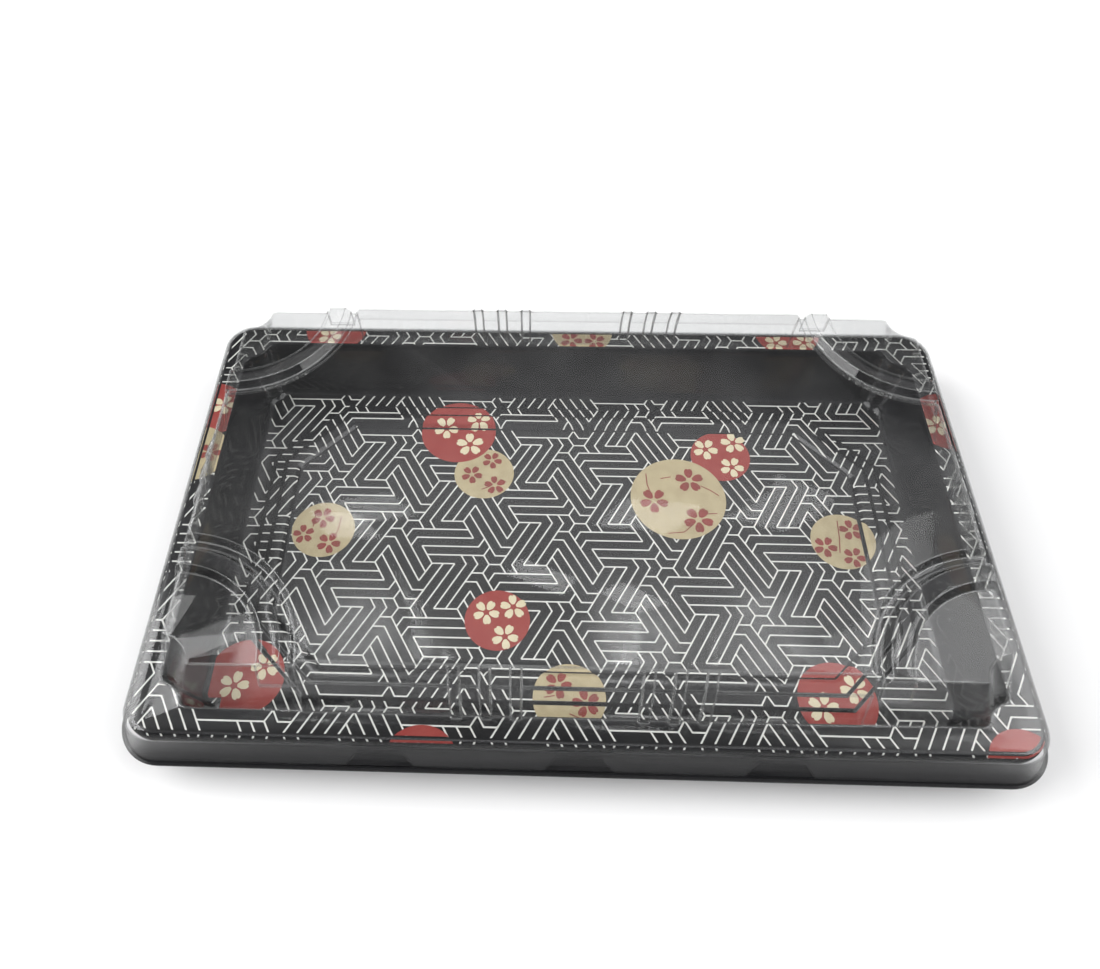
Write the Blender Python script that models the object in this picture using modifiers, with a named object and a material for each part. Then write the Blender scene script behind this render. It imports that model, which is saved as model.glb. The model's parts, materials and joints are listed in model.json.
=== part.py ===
"""Takeaway sushi tray: a black thermoformed tray and its clear press-on lid, lid on, empty.

Metres, +Z up, long side along X. The origin is on the ground under the middle of the tray.
The tray is one formed sheet: a rolled rim, a flat flange, steep walls with scooped corners and a
floor with an eight-sided stiffening ring. The lid is a second formed sheet: a skirt that snaps
over the rim, a flange, a dome with a raised cross-shaped panel, four sunken corners with a
quarter-ring rib each, and groups of upright ribs on its walls.
"""
import math

import bmesh
import bpy
from mathutils import Vector

MM = 0.001
GAP = 0.3 * MM                     # air between the tray and the lid where they meet

# Tray: half sizes of the flange's outer edge, then sheet and depths
FLANGE_HALF_X = 124.6 * MM
FLANGE_HALF_Y = 74.5 * MM
TRAY_SHEET = 0.8 * MM
TRAY_DEPTH = 21.3 * MM             # from the flange's face down to the floor
RIM_ROLL = 1.9 * MM                # how far the rolled rim reaches past the flat flange
RIM_DROP = 3.8 * MM
RIM_ROUND = 9.2 * MM
FLANGE_WIDTH = 6.2 * MM
WALL_RUN = 6.5 * MM                # horizontal run of the tray's wall
WALL_FILLET = 1.0 * MM

# Stiffening ring in the floor: eight-sided, two steps up and one slope down
RING_REACH = -18.2 * MM            # its outer edge from the flange's outer edge
RING_CHAMFER = 23.7 * MM
RING_FILLET = 4.0 * MM
RING_STEP = 0.7 * MM               # height of each step
OUTER_BAND = 4.2 * MM
INNER_BAND = 3.8 * MM
STEP_RUN = 0.5 * MM
RING_SLOPE_RUN = 1.5 * MM
CENTRE_MARGIN = 1.5 * MM           # flat strip between the ring and the one face of the middle

# Lid: sheet, skirt and dome
LID_SHEET = 0.7 * MM
SKIRT_DROP = 11.6 * MM             # from the tray's flange face down to the lip's lower edge
DOME_INSET = 5.6 * MM              # from the flange's edge in to the dome's foot
DOME_FOOT = -0.5 * MM              # heights above the tray's flange face
CORNER_TOP = 20.6 * MM
CREASE_HEIGHT = 15.5 * MM
PANEL_TOP = 23.1 * MM
WALL_LEAN_X = 5.5 * MM             # lean of the dome's plain corner walls, foot to top
WALL_LEAN_Y = 4.2 * MM

# Scooped corners of the dome and of the tray's opening: notch radius and edge round
SCOOP_TOP = (8.2 * MM, 1.2 * MM)
SCOOP_FOOT = (7.3 * MM, 3.3 * MM)
SCOOP_FLOOR = (4.0 * MM, 4.0 * MM)

# Quarter-ring ribs, measured from the dome's sharp corner
RIB_RING_BASE = (27.2 * MM, 35.6 * MM)
RIB_RING_CREST = (29.2 * MM, 33.4 * MM)
PANEL_NOTCH = 37.4 * MM            # the raised panel stops at this radius
PANEL_NOTCH_SLOPE = 1.3 * MM
RING_RIB_FOOT = 12.5 * MM          # height at which a ring's end fades out on the wall
RING_RIB_PROUD = 0.9 * MM
TURN_STEPS = 48

# Upright ribs on the dome's walls
WALL_RIB_WIDTH = 3.2 * MM
WALL_RIB_PROUD = 0.8 * MM
WALL_RIB_PITCH = 8.2 * MM
LONG_WALL_GROUP = 25.6 * MM        # middle of each group of three from the middle of the wall

# Snap lugs pressed into the lid's skirt
LUG_DEPTH = 0.9 * MM
LUG_WIDTH_LOW = 17.6 * MM
LUG_WIDTH_HIGH = 11.0 * MM
LUG_PITCH = 55.0 * MM
LUG_LOW = -9.9 * MM
LUG_HIGH = -5.3 * MM

CORNER_POINTS = 9
FLANGE_Z = TRAY_DEPTH + TRAY_SHEET


def round_corner(radius):
    """Offsets (dx, dy) from a rectangle's sharp corner along a quarter circle."""
    angles = [math.pi / 2 * step / (CORNER_POINTS - 1) for step in range(CORNER_POINTS)]
    return [(radius * (1 - math.cos(angle)), radius * (1 - math.sin(angle))) for angle in angles]


def scooped_corner(radius, fillet):
    """Offsets along a hollow quarter arc centred on the sharp corner, its two edges rounded."""
    start = fillet / radius
    stop = math.pi / 2 - start
    first = [(0.0, radius + fillet), (0.29 * fillet, radius + 0.29 * fillet)]
    arc = []
    for step in range(CORNER_POINTS - 4):
        angle = start + (stop - start) * step / (CORNER_POINTS - 5)
        arc.append((radius * math.sin(angle), radius * math.cos(angle)))
    last = [(dy, dx) for dx, dy in reversed(first)]
    return first + arc + last


def chamfered_corner(leg, fillet):
    """Offsets along a 45 degree chamfer whose two ends are rounded."""
    slant = fillet * math.sqrt(0.5)
    first = [(0.0, leg + fillet), (0.184 * fillet, leg + 0.076 * fillet)]
    run = []
    for step in range(CORNER_POINTS - 4):
        share = step / (CORNER_POINTS - 5)
        travel = slant + (leg - 2 * slant) * share
        run.append((travel, leg - travel))
    last = [(dy, dx) for dx, dy in reversed(first)]
    return first + run + last


def outline(half_x, half_y, corner):
    """Anticlockwise closed outline of a rectangle that has the same corner shape four times."""
    quarter = [(half_x - dx, half_y - dy) for dx, dy in corner]
    points = list(quarter)
    points += [(-x, y) for x, y in reversed(quarter)]
    points += [(-x, -y) for x, y in quarter]
    points += [(x, -y) for x, y in reversed(quarter)]
    return points


def material(name, colour, roughness, alpha=1.0):
    """A Principled material with one colour."""
    made = bpy.data.materials.new(name)
    made.use_nodes = True
    shader = made.node_tree.nodes["Principled BSDF"]
    shader.inputs["Base Color"].default_value = (*colour, 1.0)
    shader.inputs["Roughness"].default_value = roughness
    shader.inputs["Metallic"].default_value = 0.0
    shader.inputs["Alpha"].default_value = alpha
    made.diffuse_color = (*colour, alpha)
    return made


def new_object(name, shape, collection):
    """Turn a bmesh into an object in a collection."""
    mesh = bpy.data.meshes.new(name)
    shape.to_mesh(mesh)
    shape.free()
    made = bpy.data.objects.new(name, mesh)
    collection.objects.link(made)
    return made


def loft(name, sections, collection):
    """Skin a stack of (outline, height) sections and close both ends into a solid."""
    shape = bmesh.new()
    rings = [[shape.verts.new((x, y, height)) for x, y in points] for points, height in sections]
    count = len(rings[0])
    for outer, inner in zip(rings, rings[1:]):
        for index in range(count):
            after = (index + 1) % count
            shape.faces.new((outer[index], outer[after], inner[after], inner[index]))
    shape.faces.new(rings[-1])
    shape.faces.new(reversed(rings[0]))
    bmesh.ops.recalc_face_normals(shape, faces=shape.faces)
    return new_object(name, shape, collection)


def boolean(target, operation, tool):
    """Add an exact Boolean of the tool object to the target."""
    modifier = target.modifiers.new(tool.name, "BOOLEAN")
    modifier.solver = "EXACT"
    modifier.operation = operation
    modifier.object = tool


def offset_profile(profile, distance):
    """Offset an open (reach, height) line to the right of its direction, corners mitred."""
    if not distance:
        return list(profile)
    moved = []
    for index, (reach, height) in enumerate(profile):
        before = Vector(profile[max(index - 1, 0)])
        after = Vector(profile[min(index + 1, len(profile) - 1)])
        here = Vector((reach, height))
        sides = [side.normalized() for side in (here - before, after - here) if side.length > 0]
        normals = [Vector((side.y, -side.x)) for side in sides]
        mitre = sum(normals, Vector((0.0, 0.0))).normalized()
        stretch = distance / mitre.dot(normals[0])
        moved.append((reach + mitre.x * stretch, height + mitre.y * stretch))
    return moved


def tray_profile():
    """Upper face of the tray from the rim's lower edge in to its middle: reach, height, corner."""
    floor = -TRAY_DEPTH
    wall_top = -FLANGE_WIDTH
    wall_foot = wall_top - WALL_RUN
    step_two = RING_REACH - OUTER_BAND
    ring_crest = step_two - STEP_RUN - INNER_BAND
    rim_round = round_corner(RIM_ROUND)
    opening = scooped_corner(*SCOOP_FOOT)
    well = scooped_corner(*SCOOP_FLOOR)
    line = [
        (RIM_ROLL, -RIM_DROP, rim_round),
        (RIM_ROLL, -0.58 * RIM_DROP, rim_round),
        (0.7 * RIM_ROLL, -0.22 * RIM_DROP, round_corner(RIM_ROUND - 0.3 * RIM_ROLL)),
        (0.0, 0.0, round_corner(RIM_ROUND - RIM_ROLL)),
        (wall_top, 0.0, opening),
        (wall_top - 0.6 * WALL_FILLET, -WALL_FILLET, opening),
        (wall_foot + WALL_FILLET, floor + WALL_FILLET, well),
        (wall_foot, floor, well),
    ]
    ring = [
        (RING_REACH, 0.0),
        (RING_REACH - STEP_RUN, RING_STEP),
        (step_two, RING_STEP),
        (step_two - STEP_RUN, 2 * RING_STEP),
        (ring_crest, 2 * RING_STEP),
        (ring_crest - RING_SLOPE_RUN, 0.0),
        (ring_crest - RING_SLOPE_RUN - CENTRE_MARGIN, 0.0),
    ]
    for reach, rise in ring:
        leg = RING_CHAMFER - (RING_REACH - reach) * (2 - math.sqrt(2))
        line.append((reach, floor + rise, chamfered_corner(leg, RING_FILLET)))
    return line


def build_tray(collection):
    """The black tray: one formed sheet, its under face up to the rim and back over the top."""
    profile = tray_profile()
    upper = [(reach, height) for reach, height, corner in profile]
    under = offset_profile(upper, -TRAY_SHEET)
    corners = [corner for reach, height, corner in profile]
    sections = []
    for face, shapes in ((reversed(under), reversed(corners)), (upper, corners)):
        for (reach, height), corner in zip(face, shapes):
            points = outline(FLANGE_HALF_X + reach, FLANGE_HALF_Y + reach, corner)
            sections.append((points, FLANGE_Z + height))
    tray = loft("tray", sections, collection)
    tray.data.shade_smooth()
    tray.data.set_sharp_from_angle(angle=math.radians(28))
    tray.data.materials.append(material("tray plastic", (0.016, 0.016, 0.018), 0.22))
    return tray


def skirt_profile():
    """Outer face of the lid's edge, from the flange out over the rim and down to the lip."""
    flange_top = GAP + LID_SHEET
    return [
        (0.3 * MM, flange_top),
        (1.9 * MM, 0.5 * MM),
        (2.9 * MM, -1.2 * MM),
        (3.2 * MM, -4.2 * MM),
        (4.9 * MM, -10.3 * MM),
        (6.2 * MM, -10.9 * MM),
        (6.2 * MM, -SKIRT_DROP),
    ]


def skirt_reach(height):
    """Reach of the skirt's outer face at a height between the rim and the lip."""
    (top_reach, top), (low_reach, low) = skirt_profile()[3:5]
    share = (top - height) / (top - low)
    return top_reach + (low_reach - top_reach) * share


def skirt_block(name, inset, collection):
    """Solid under the lid's flange and skirt."""
    profile = offset_profile(skirt_profile(), inset)
    if inset:
        reach, height = profile[-1]
        profile[-1] = (reach, height - 1.0 * MM)
    sections = []
    for reach, height in profile:
        points = outline(FLANGE_HALF_X + reach, FLANGE_HALF_Y + reach,
                         round_corner(7.0 * MM + reach))
        sections.append((points, FLANGE_Z + height))
    return loft(name, sections, collection)


def dome_foot():
    """Half sizes of the dome's foot."""
    return FLANGE_HALF_X - DOME_INSET, FLANGE_HALF_Y - DOME_INSET


def corner_block(name, inset, collection, proud=0.0, foot=DOME_FOOT, top=CORNER_TOP):
    """The dome at the height of its corners, its plain walls leaning in to the top."""
    half_x, half_y = dome_foot()
    sections = []
    for height, scoop in ((foot, SCOOP_FOOT), (top - inset, SCOOP_TOP)):
        share = height / CORNER_TOP
        out = proud - inset
        points = outline(half_x - WALL_LEAN_X * share + out, half_y - WALL_LEAN_Y * share + out,
                         scooped_corner(*scoop))
        sections.append((points, FLANGE_Z + height))
    return loft(name, sections, collection)


def dome_corners():
    """The four sharp corners of the dome's top, where the quarter rings are centred."""
    half_x, half_y = dome_foot()
    x = half_x - WALL_LEAN_X
    y = half_y - WALL_LEAN_Y
    return [(x, y), (-x, y), (-x, -y), (x, -y)]


def turned(name, profile, centre, collection):
    """A (radius, height) profile turned about an upright axis, listed down its outer side.

    A profile that starts and ends on the axis makes a plug, and any other one makes a ring.
    """
    shape = bmesh.new()
    verts = [shape.verts.new((radius, 0.0, height)) for radius, height in profile]
    for start, end in zip(verts, verts[1:]):
        shape.edges.new((start, end))
    if profile[0][0] > 0.0:
        shape.edges.new((verts[-1], verts[0]))
    made = new_object(name, shape, collection)
    made.location = (centre[0], centre[1], 0.0)
    screw = made.modifiers.new("turn", "SCREW")
    screw.axis = "Z"
    screw.angle = 2 * math.pi
    screw.steps = TURN_STEPS
    screw.render_steps = TURN_STEPS
    screw.use_merge_vertices = True
    screw.merge_threshold = 0.00001
    return made


def panel_wall():
    """Reach inside the dome's foot and height of the raised panel's two-facet wall."""
    return [(-0.4 * MM, DOME_FOOT), (2.1 * MM, CREASE_HEIGHT), (4.7 * MM, PANEL_TOP)]


def panel_block(name, inset, collection):
    """The raised cross-shaped panel: two-facet walls, its corners notched by the rings."""
    half_x, half_y = dome_foot()
    sections = []
    for inward, height in panel_wall():
        side_x = half_x - inward * WALL_LEAN_X / WALL_LEAN_Y - inset
        side_y = half_y - inward - inset
        level = height - inset if height == PANEL_TOP else height
        square = [(side_x, side_y), (-side_x, side_y), (-side_x, -side_y), (side_x, -side_y)]
        sections.append((square, FLANGE_Z + level))
    panel = loft(name, sections, collection)
    low = FLANGE_Z - 1.0 * MM
    high = FLANGE_Z + PANEL_TOP + 1.0 * MM
    slope = PANEL_NOTCH_SLOPE / (PANEL_TOP - CORNER_TOP)
    for number, corner in enumerate(dome_corners()):
        ridge = FLANGE_Z + CORNER_TOP
        reach = PANEL_NOTCH + inset
        notch = [(0.0, high), (reach + slope * (high - ridge), high), (reach, ridge),
                 (reach, low), (0.0, low)]
        cutter = turned(f"{name} notch {number}", notch, corner, collection)
        boolean(panel, "DIFFERENCE", cutter)
    return panel


def ring_ribs(name, inset, collection):
    """Four quarter-ring ribs, their ends turned down over the dome's walls."""
    crest_height = PANEL_TOP - 0.2 * MM
    clip = corner_block(name, inset, collection, RING_RIB_PROUD, RING_RIB_FOOT, crest_height)
    inner, outer = RIB_RING_BASE
    crest_inner, crest_outer = RIB_RING_CREST
    low = FLANGE_Z + 5.0 * MM
    shoulder = FLANGE_Z + CORNER_TOP - inset
    crest = FLANGE_Z + crest_height + 0.5 * MM - inset
    section = [(crest_outer - inset, crest), (outer - inset, shoulder), (outer - inset, low),
               (inner + inset, low), (inner + inset, shoulder), (crest_inner + inset, crest)]
    rings = None
    for number, corner in enumerate(dome_corners()):
        ring = turned(f"{name} ring {number}", section, corner, collection)
        if rings is None:
            rings = ring
        else:
            boolean(rings, "UNION", ring)
    boolean(clip, "INTERSECT", rings)
    return clip


def wall_rib_places():
    """Position along the wall and outward direction of every upright rib."""
    places = []
    for side in (-1, 1):
        for group in (-LONG_WALL_GROUP, LONG_WALL_GROUP):
            for step in (-1, 0, 1):
                places.append((group + step * WALL_RIB_PITCH, Vector((0.0, side, 0.0))))
        for step in (-1, 0, 1):
            places.append((step * WALL_RIB_PITCH, Vector((side, 0.0, 0.0))))
    return places


def wall_ribs(name, inset, collection):
    """Upright ribs that follow the two facets of the panel's wall."""
    half_x, half_y = dome_foot()
    half_width = WALL_RIB_WIDTH / 2 - inset
    shape = bmesh.new()
    for along, outward in wall_rib_places():
        sideways = Vector((-outward.y, outward.x, 0.0))
        half = half_x if outward.x else half_y
        lean = WALL_LEAN_X / WALL_LEAN_Y if outward.x else 1.0
        line = []
        for inward, height in panel_wall():
            level = height - 0.2 * MM - inset if height == PANEL_TOP else height
            line.append((half - inward * lean + WALL_RIB_PROUD - inset, level))
        back = [(reach - 4.0 * MM, level) for reach, level in reversed(line)]
        rings = []
        for edge in (-half_width, half_width):
            corner_line = [outward * reach + sideways * (along + edge) +
                           Vector((0.0, 0.0, FLANGE_Z + level)) for reach, level in line + back]
            rings.append([shape.verts.new(point) for point in corner_line])
        count = len(rings[0])
        for index in range(count):
            after = (index + 1) % count
            shape.faces.new((rings[0][index], rings[0][after], rings[1][after], rings[1][index]))
        shape.faces.new(rings[0])
        shape.faces.new(reversed(rings[1]))
    bmesh.ops.recalc_face_normals(shape, faces=shape.faces)
    return new_object(name, shape, collection)


def lug_places():
    """Position along the skirt and outward direction of every snap lug."""
    long_side = [(step * LUG_PITCH, Vector((0.0, side, 0.0))) for side in (-1, 1) for step in (-1, 0, 1)]
    short_side = [(step * LUG_PITCH / 2, Vector((side, 0.0, 0.0))) for side in (-1, 1) for step in (-1, 1)]
    return long_side + short_side


def snap_lugs(name, inset, collection):
    """Wedges that press the lid's trapezoid snap lugs in under the tray's rim."""
    shape = bmesh.new()
    for along, outward in lug_places():
        sideways = Vector((-outward.y, outward.x, 0.0))
        half = FLANGE_HALF_X if outward.x else FLANGE_HALF_Y
        corners = []
        for depth, spread in ((LUG_DEPTH + inset, 0.0), (-1.0 * MM, 1.2 * MM)):
            grow = spread + inset
            for width, height in ((LUG_WIDTH_LOW, LUG_LOW - grow), (LUG_WIDTH_HIGH, LUG_HIGH + grow)):
                for edge in (-1, 1):
                    place = sideways * (along + edge * (width / 2 + grow))
                    place += outward * (half + skirt_reach(height) - depth)
                    corners.append(shape.verts.new(place + Vector((0.0, 0.0, FLANGE_Z + height))))
        for loop in ((0, 1, 3, 2), (4, 5, 7, 6), (0, 1, 5, 4), (2, 3, 7, 6), (0, 2, 6, 4), (1, 3, 7, 5)):
            shape.faces.new([corners[index] for index in loop])
    bmesh.ops.recalc_face_normals(shape, faces=shape.faces)
    return new_object(name, shape, collection)


def lid_form(name, inset, home, collection):
    """The lid's whole outer form, or the same form shrunk by the sheet's thickness."""
    form = skirt_block(name, inset, home)
    boolean(form, "DIFFERENCE", snap_lugs(f"{name} lugs", inset, collection))
    boolean(form, "UNION", corner_block(f"{name} corners", inset, collection))
    boolean(form, "UNION", panel_block(f"{name} panel", inset, collection))
    boolean(form, "UNION", ring_ribs(f"{name} ring ribs", inset, collection))
    boolean(form, "UNION", wall_ribs(f"{name} wall ribs", inset, collection))
    return form


def build_lid(collection, cutters):
    """The clear lid: its outer form less the same form one sheet further in."""
    lid = lid_form("lid", 0.0, collection, cutters)
    hollow = lid_form("lid hollow", LID_SHEET, cutters, cutters)
    boolean(lid, "DIFFERENCE", hollow)
    lid.data.materials.append(material("lid plastic", (0.86, 0.87, 0.86), 0.06, 0.25))
    return lid


def main():
    """Clear the scene and build the tray and its lid."""
    for old in list(bpy.data.objects):
        bpy.data.objects.remove(old, do_unlink=True)
    parts = bpy.data.collections.new("takeaway sushi tray")
    cutters = bpy.data.collections.new("cutters")
    for collection in (parts, cutters):
        bpy.context.scene.collection.children.link(collection)
    build_tray(parts)
    build_lid(parts, cutters)
    for cutter in cutters.objects:
        cutter.hide_render = True
        cutter.display_type = "WIRE"


main()
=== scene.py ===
"""Looks of a takeaway sushi tray with its clear lid on: tray shell, printed pattern, lid, studio.

Metres, +Z up, long side along X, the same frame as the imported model.
"""

import json
import logging
import math
from collections.abc import Callable, Iterator, Sequence
from contextlib import contextmanager
from dataclasses import dataclass, field
from enum import Enum

import bmesh
import bpy
from mathutils import Matrix, Vector

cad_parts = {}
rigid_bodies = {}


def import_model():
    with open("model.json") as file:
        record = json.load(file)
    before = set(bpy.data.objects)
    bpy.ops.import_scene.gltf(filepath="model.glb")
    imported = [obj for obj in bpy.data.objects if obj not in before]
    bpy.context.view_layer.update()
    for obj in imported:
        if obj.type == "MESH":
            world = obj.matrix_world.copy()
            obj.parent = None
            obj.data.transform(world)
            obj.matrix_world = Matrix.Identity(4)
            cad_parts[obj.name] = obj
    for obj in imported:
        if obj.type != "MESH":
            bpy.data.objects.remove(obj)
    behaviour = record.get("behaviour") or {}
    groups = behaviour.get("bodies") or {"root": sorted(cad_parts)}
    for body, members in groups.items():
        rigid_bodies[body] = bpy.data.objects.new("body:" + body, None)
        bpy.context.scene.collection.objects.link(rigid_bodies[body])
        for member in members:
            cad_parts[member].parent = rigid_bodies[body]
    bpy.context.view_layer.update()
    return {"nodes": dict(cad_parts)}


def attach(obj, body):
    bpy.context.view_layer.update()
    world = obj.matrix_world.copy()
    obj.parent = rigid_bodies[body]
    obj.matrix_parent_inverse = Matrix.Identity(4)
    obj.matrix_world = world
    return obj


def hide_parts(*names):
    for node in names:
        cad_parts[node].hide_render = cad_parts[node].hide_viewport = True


MM = 0.001
LOG = logging.getLogger("sushi tray")
Point = tuple[float, float]


# ---------------------------------------------------------------- bench tools

def clear_selection() -> None:
    """Leave nothing selected and nothing active."""
    bpy.ops.object.select_all(action="DESELECT")
    bpy.context.view_layer.objects.active = None


def take(piece: bpy.types.Object) -> None:
    """Make one piece the only selected and the active one.

    Args:
        piece: The piece to work on.
    """
    clear_selection()
    piece.select_set(True)
    bpy.context.view_layer.objects.active = piece


@contextmanager
def editing(piece: bpy.types.Object) -> Iterator[None]:
    """Hold one piece open in edit mode with vertex selection.

    Args:
        piece: The piece to open.
    """
    take(piece)
    bpy.ops.object.mode_set(mode="EDIT")
    bpy.ops.mesh.select_mode(type="VERT")
    try:
        yield
    finally:
        bpy.ops.object.mode_set(mode="OBJECT")


def new_piece(name: str) -> bpy.types.Object:
    """Add an empty mesh object to draw into.

    Args:
        name: Name of the piece and of its mesh.

    Returns:
        The new object, at the origin.
    """
    clear_selection()
    bpy.ops.mesh.primitive_plane_add(size=1 * MM)
    piece = bpy.context.object
    piece.name = name
    piece.data.name = name
    bpy.ops.object.mode_set(mode="EDIT")
    bpy.ops.mesh.delete(type="VERT")
    bpy.ops.object.mode_set(mode="OBJECT")
    return piece


def pick(test: Callable[[int, Vector], bool]) -> None:
    """Select the vertices of the open mesh that pass a test.

    Args:
        test: Takes a vertex's number and place.
    """
    mesh = bpy.context.edit_object.data
    shape = bmesh.from_edit_mesh(mesh)
    shape.verts.ensure_lookup_table()
    for face in shape.faces:
        face.select_set(False)
    for edge in shape.edges:
        edge.select_set(False)
    for number, vert in enumerate(shape.verts):
        vert.select_set(test(number, vert.co))
    shape.select_flush_mode()
    bmesh.update_edit_mesh(mesh)


def pick_faces(test: Callable[[Vector, Vector], bool]) -> None:
    """Select the faces of the open mesh that pass a test.

    Args:
        test: Takes a face's middle and its normal.
    """
    mesh = bpy.context.edit_object.data
    bpy.ops.mesh.select_mode(type="FACE")
    bpy.ops.mesh.select_all(action="DESELECT")
    shape = bmesh.from_edit_mesh(mesh)
    for face in shape.faces:
        if test(face.calc_center_median(), face.normal):
            face.select_set(True)
    bmesh.update_edit_mesh(mesh)


def count_verts() -> int:
    """Number of vertices in the open mesh."""
    return len(bmesh.from_edit_mesh(bpy.context.edit_object.data).verts)


def dot(place: Vector) -> None:
    """Add one selected vertex to the open mesh.

    Args:
        place: Where it goes.
    """
    bpy.ops.mesh.select_all(action="DESELECT")
    bpy.ops.mesh.primitive_plane_add(size=1 * MM, location=place)
    bpy.ops.mesh.merge(type="CENTER")


def step_on(move: Vector) -> None:
    """Extrude the selected vertex along a straight line.

    Args:
        move: From the vertex to its next place.
    """
    bpy.ops.mesh.extrude_vertices_move(TRANSFORM_OT_translate={"value": move})


def trace(places: Sequence[Vector]) -> None:
    """Draw a wire through places into the open mesh.

    Args:
        places: The wire's corners in order.
    """
    dot(places[0])
    for before, after in zip(places, places[1:]):
        step_on(after - before)


def swing(centre: Vector, degrees: float, steps: int) -> None:
    """Spin the selected vertex about an upright axis.

    Args:
        centre: A point on the axis.
        degrees: Angle to turn, anticlockwise seen from above.
        steps: Number of edges in the arc.
    """
    bpy.ops.mesh.spin(steps=steps, angle=math.radians(-degrees), center=centre, axis=(0, 0, 1))


def face_outward() -> None:
    """Select the whole open mesh and turn its faces outward."""
    bpy.ops.mesh.select_all(action="SELECT")
    bpy.ops.mesh.normals_make_consistent(inside=False)


def put_in_order() -> None:
    """Number the open mesh's parts by their distance from one odd point, alike in every run."""
    cursor = bpy.context.scene.cursor
    cursor.location = (0.3171, 0.5337, 0.7119)
    bpy.ops.mesh.select_all(action="SELECT")
    bpy.ops.mesh.sort_elements(type="CURSOR_DISTANCE", elements={"VERT", "EDGE", "FACE"})
    cursor.location = (0.0, 0.0, 0.0)


def mark_layer() -> None:
    """Give the selected part of the open mesh its own vertex group."""
    bpy.ops.object.vertex_group_add()
    bpy.ops.object.vertex_group_assign()


def one_layer(piece: bpy.types.Object) -> None:
    """Put a whole piece into a single layer.

    Args:
        piece: The piece.
    """
    piece.vertex_groups.clear()
    with editing(piece):
        bpy.ops.mesh.select_all(action="SELECT")
        mark_layer()


def settle(piece: bpy.types.Object) -> None:
    """Apply a piece's place, turn and size to its mesh.

    Args:
        piece: The piece.
    """
    take(piece)
    bpy.ops.object.transform_apply(location=True, rotation=True, scale=True)


def apply_modifier(piece: bpy.types.Object, kind: str, **settings: object) -> None:
    """Add a modifier to a piece and apply it.

    Args:
        piece: The piece to change.
        kind: Type of the modifier.
        settings: Its settings by name.
    """
    take(piece)
    modifier = piece.modifiers.new(kind.lower(), kind)
    for name, value in settings.items():
        setattr(modifier, name, value)
    bpy.ops.object.modifier_apply(modifier=modifier.name)


def weld(piece: bpy.types.Object, distance: float) -> None:
    """Merge vertices that lie closer than a distance.

    Args:
        piece: The piece.
        distance: The distance.
    """
    with editing(piece):
        bpy.ops.mesh.select_all(action="SELECT")
        bpy.ops.mesh.remove_doubles(threshold=distance)


def combine(target: bpy.types.Object, operation: str, tool: bpy.types.Object) -> None:
    """Join or cut one closed piece with another, which is used up.

    Args:
        target: The piece that stays.
        operation: UNION, DIFFERENCE or INTERSECT.
        tool: The other piece.
    """
    apply_modifier(target, "BOOLEAN", operation=operation, object=tool, solver="EXACT")
    remove(tool)


def turned(name: str, section: Sequence[Point], middle: Vector, steps: int) -> bpy.types.Object:
    """Spin a closed section about an upright axis.

    Args:
        name: Name of the piece.
        section: Its corners as radius and height; one that starts and ends on the axis
            makes a plug, any other one a ring.
        middle: A point on the axis.
        steps: Number of steps in the full turn.

    Returns:
        The turned piece.
    """
    piece = new_piece(name)
    spots = [Vector((middle.x + radius, middle.y, height)) for radius, height in section]
    with editing(piece):
        trace(spots)
        if section[0][0] > 0.0:
            pick(lambda index, place: index in (0, len(spots) - 1))
            bpy.ops.mesh.edge_face_add()
        bpy.ops.mesh.select_all(action="SELECT")
        bpy.ops.mesh.spin(steps=steps, angle=2 * math.pi, center=middle, axis=(0, 0, 1))
        bpy.ops.mesh.select_all(action="SELECT")
        bpy.ops.mesh.remove_doubles(threshold=0.01 * MM)
        face_outward()
        put_in_order()
    return piece


def remove(piece: bpy.types.Object) -> None:
    """Delete a helper piece with its mesh."""
    bpy.data.meshes.remove(piece.data)


def join(pieces: Sequence[bpy.types.Object], name: str) -> bpy.types.Object:
    """Join pieces into the first one.

    Args:
        pieces: What to join.
        name: Name of the result.

    Returns:
        The joined piece.
    """
    take(pieces[0])
    for piece in pieces:
        piece.select_set(True)
    bpy.ops.object.join()
    joined = bpy.context.object
    joined.name = name
    joined.data.name = name
    return joined


def dress(piece: bpy.types.Object, finish: bpy.types.Material) -> None:
    """Give a piece one material.

    Args:
        piece: The piece.
        finish: Its material.
    """
    piece.data.materials.clear()
    piece.data.materials.append(finish)


def ribbon(piece: bpy.types.Object, width: float) -> None:
    """Turn a piece's level wires into flat ribbons that face up.

    Args:
        piece: The piece with the wires.
        width: The ribbons' width.
    """
    with editing(piece):
        bpy.ops.mesh.select_all(action="SELECT")
        bpy.ops.mesh.extrude_region_move(TRANSFORM_OT_translate={"value": (0, 0, 1 * MM)})
    apply_modifier(piece, "SOLIDIFY", thickness=width, offset=0.0, use_even_offset=True)
    with editing(piece):
        face_outward()
        pick_faces(lambda spot, normal: normal.z < 0.9)
        bpy.ops.mesh.delete(type="FACE")


def smooth(piece: bpy.types.Object, degrees: float) -> None:
    """Smooth a piece's shading but for edges sharper than an angle.

    Args:
        piece: The piece.
        degrees: The angle.
    """
    take(piece)
    bpy.ops.object.shade_smooth_by_angle(angle=math.radians(degrees))


# ---------------------------------------------------------------- outlines and skins

class Corner(Enum):
    """Shape of all four corners of an outline."""

    ROUND = "round"
    SCOOPED = "scooped"
    CHAMFERED = "chamfered"


# Every corner takes the same number of vertices, so that outlines of any shape bridge cleanly.
FILLET_STEPS = 4
MIDDLE_STEPS = 6
QUARTER = 2 * FILLET_STEPS + MIDDLE_STEPS + 1
ROW = 4 * QUARTER


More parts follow.
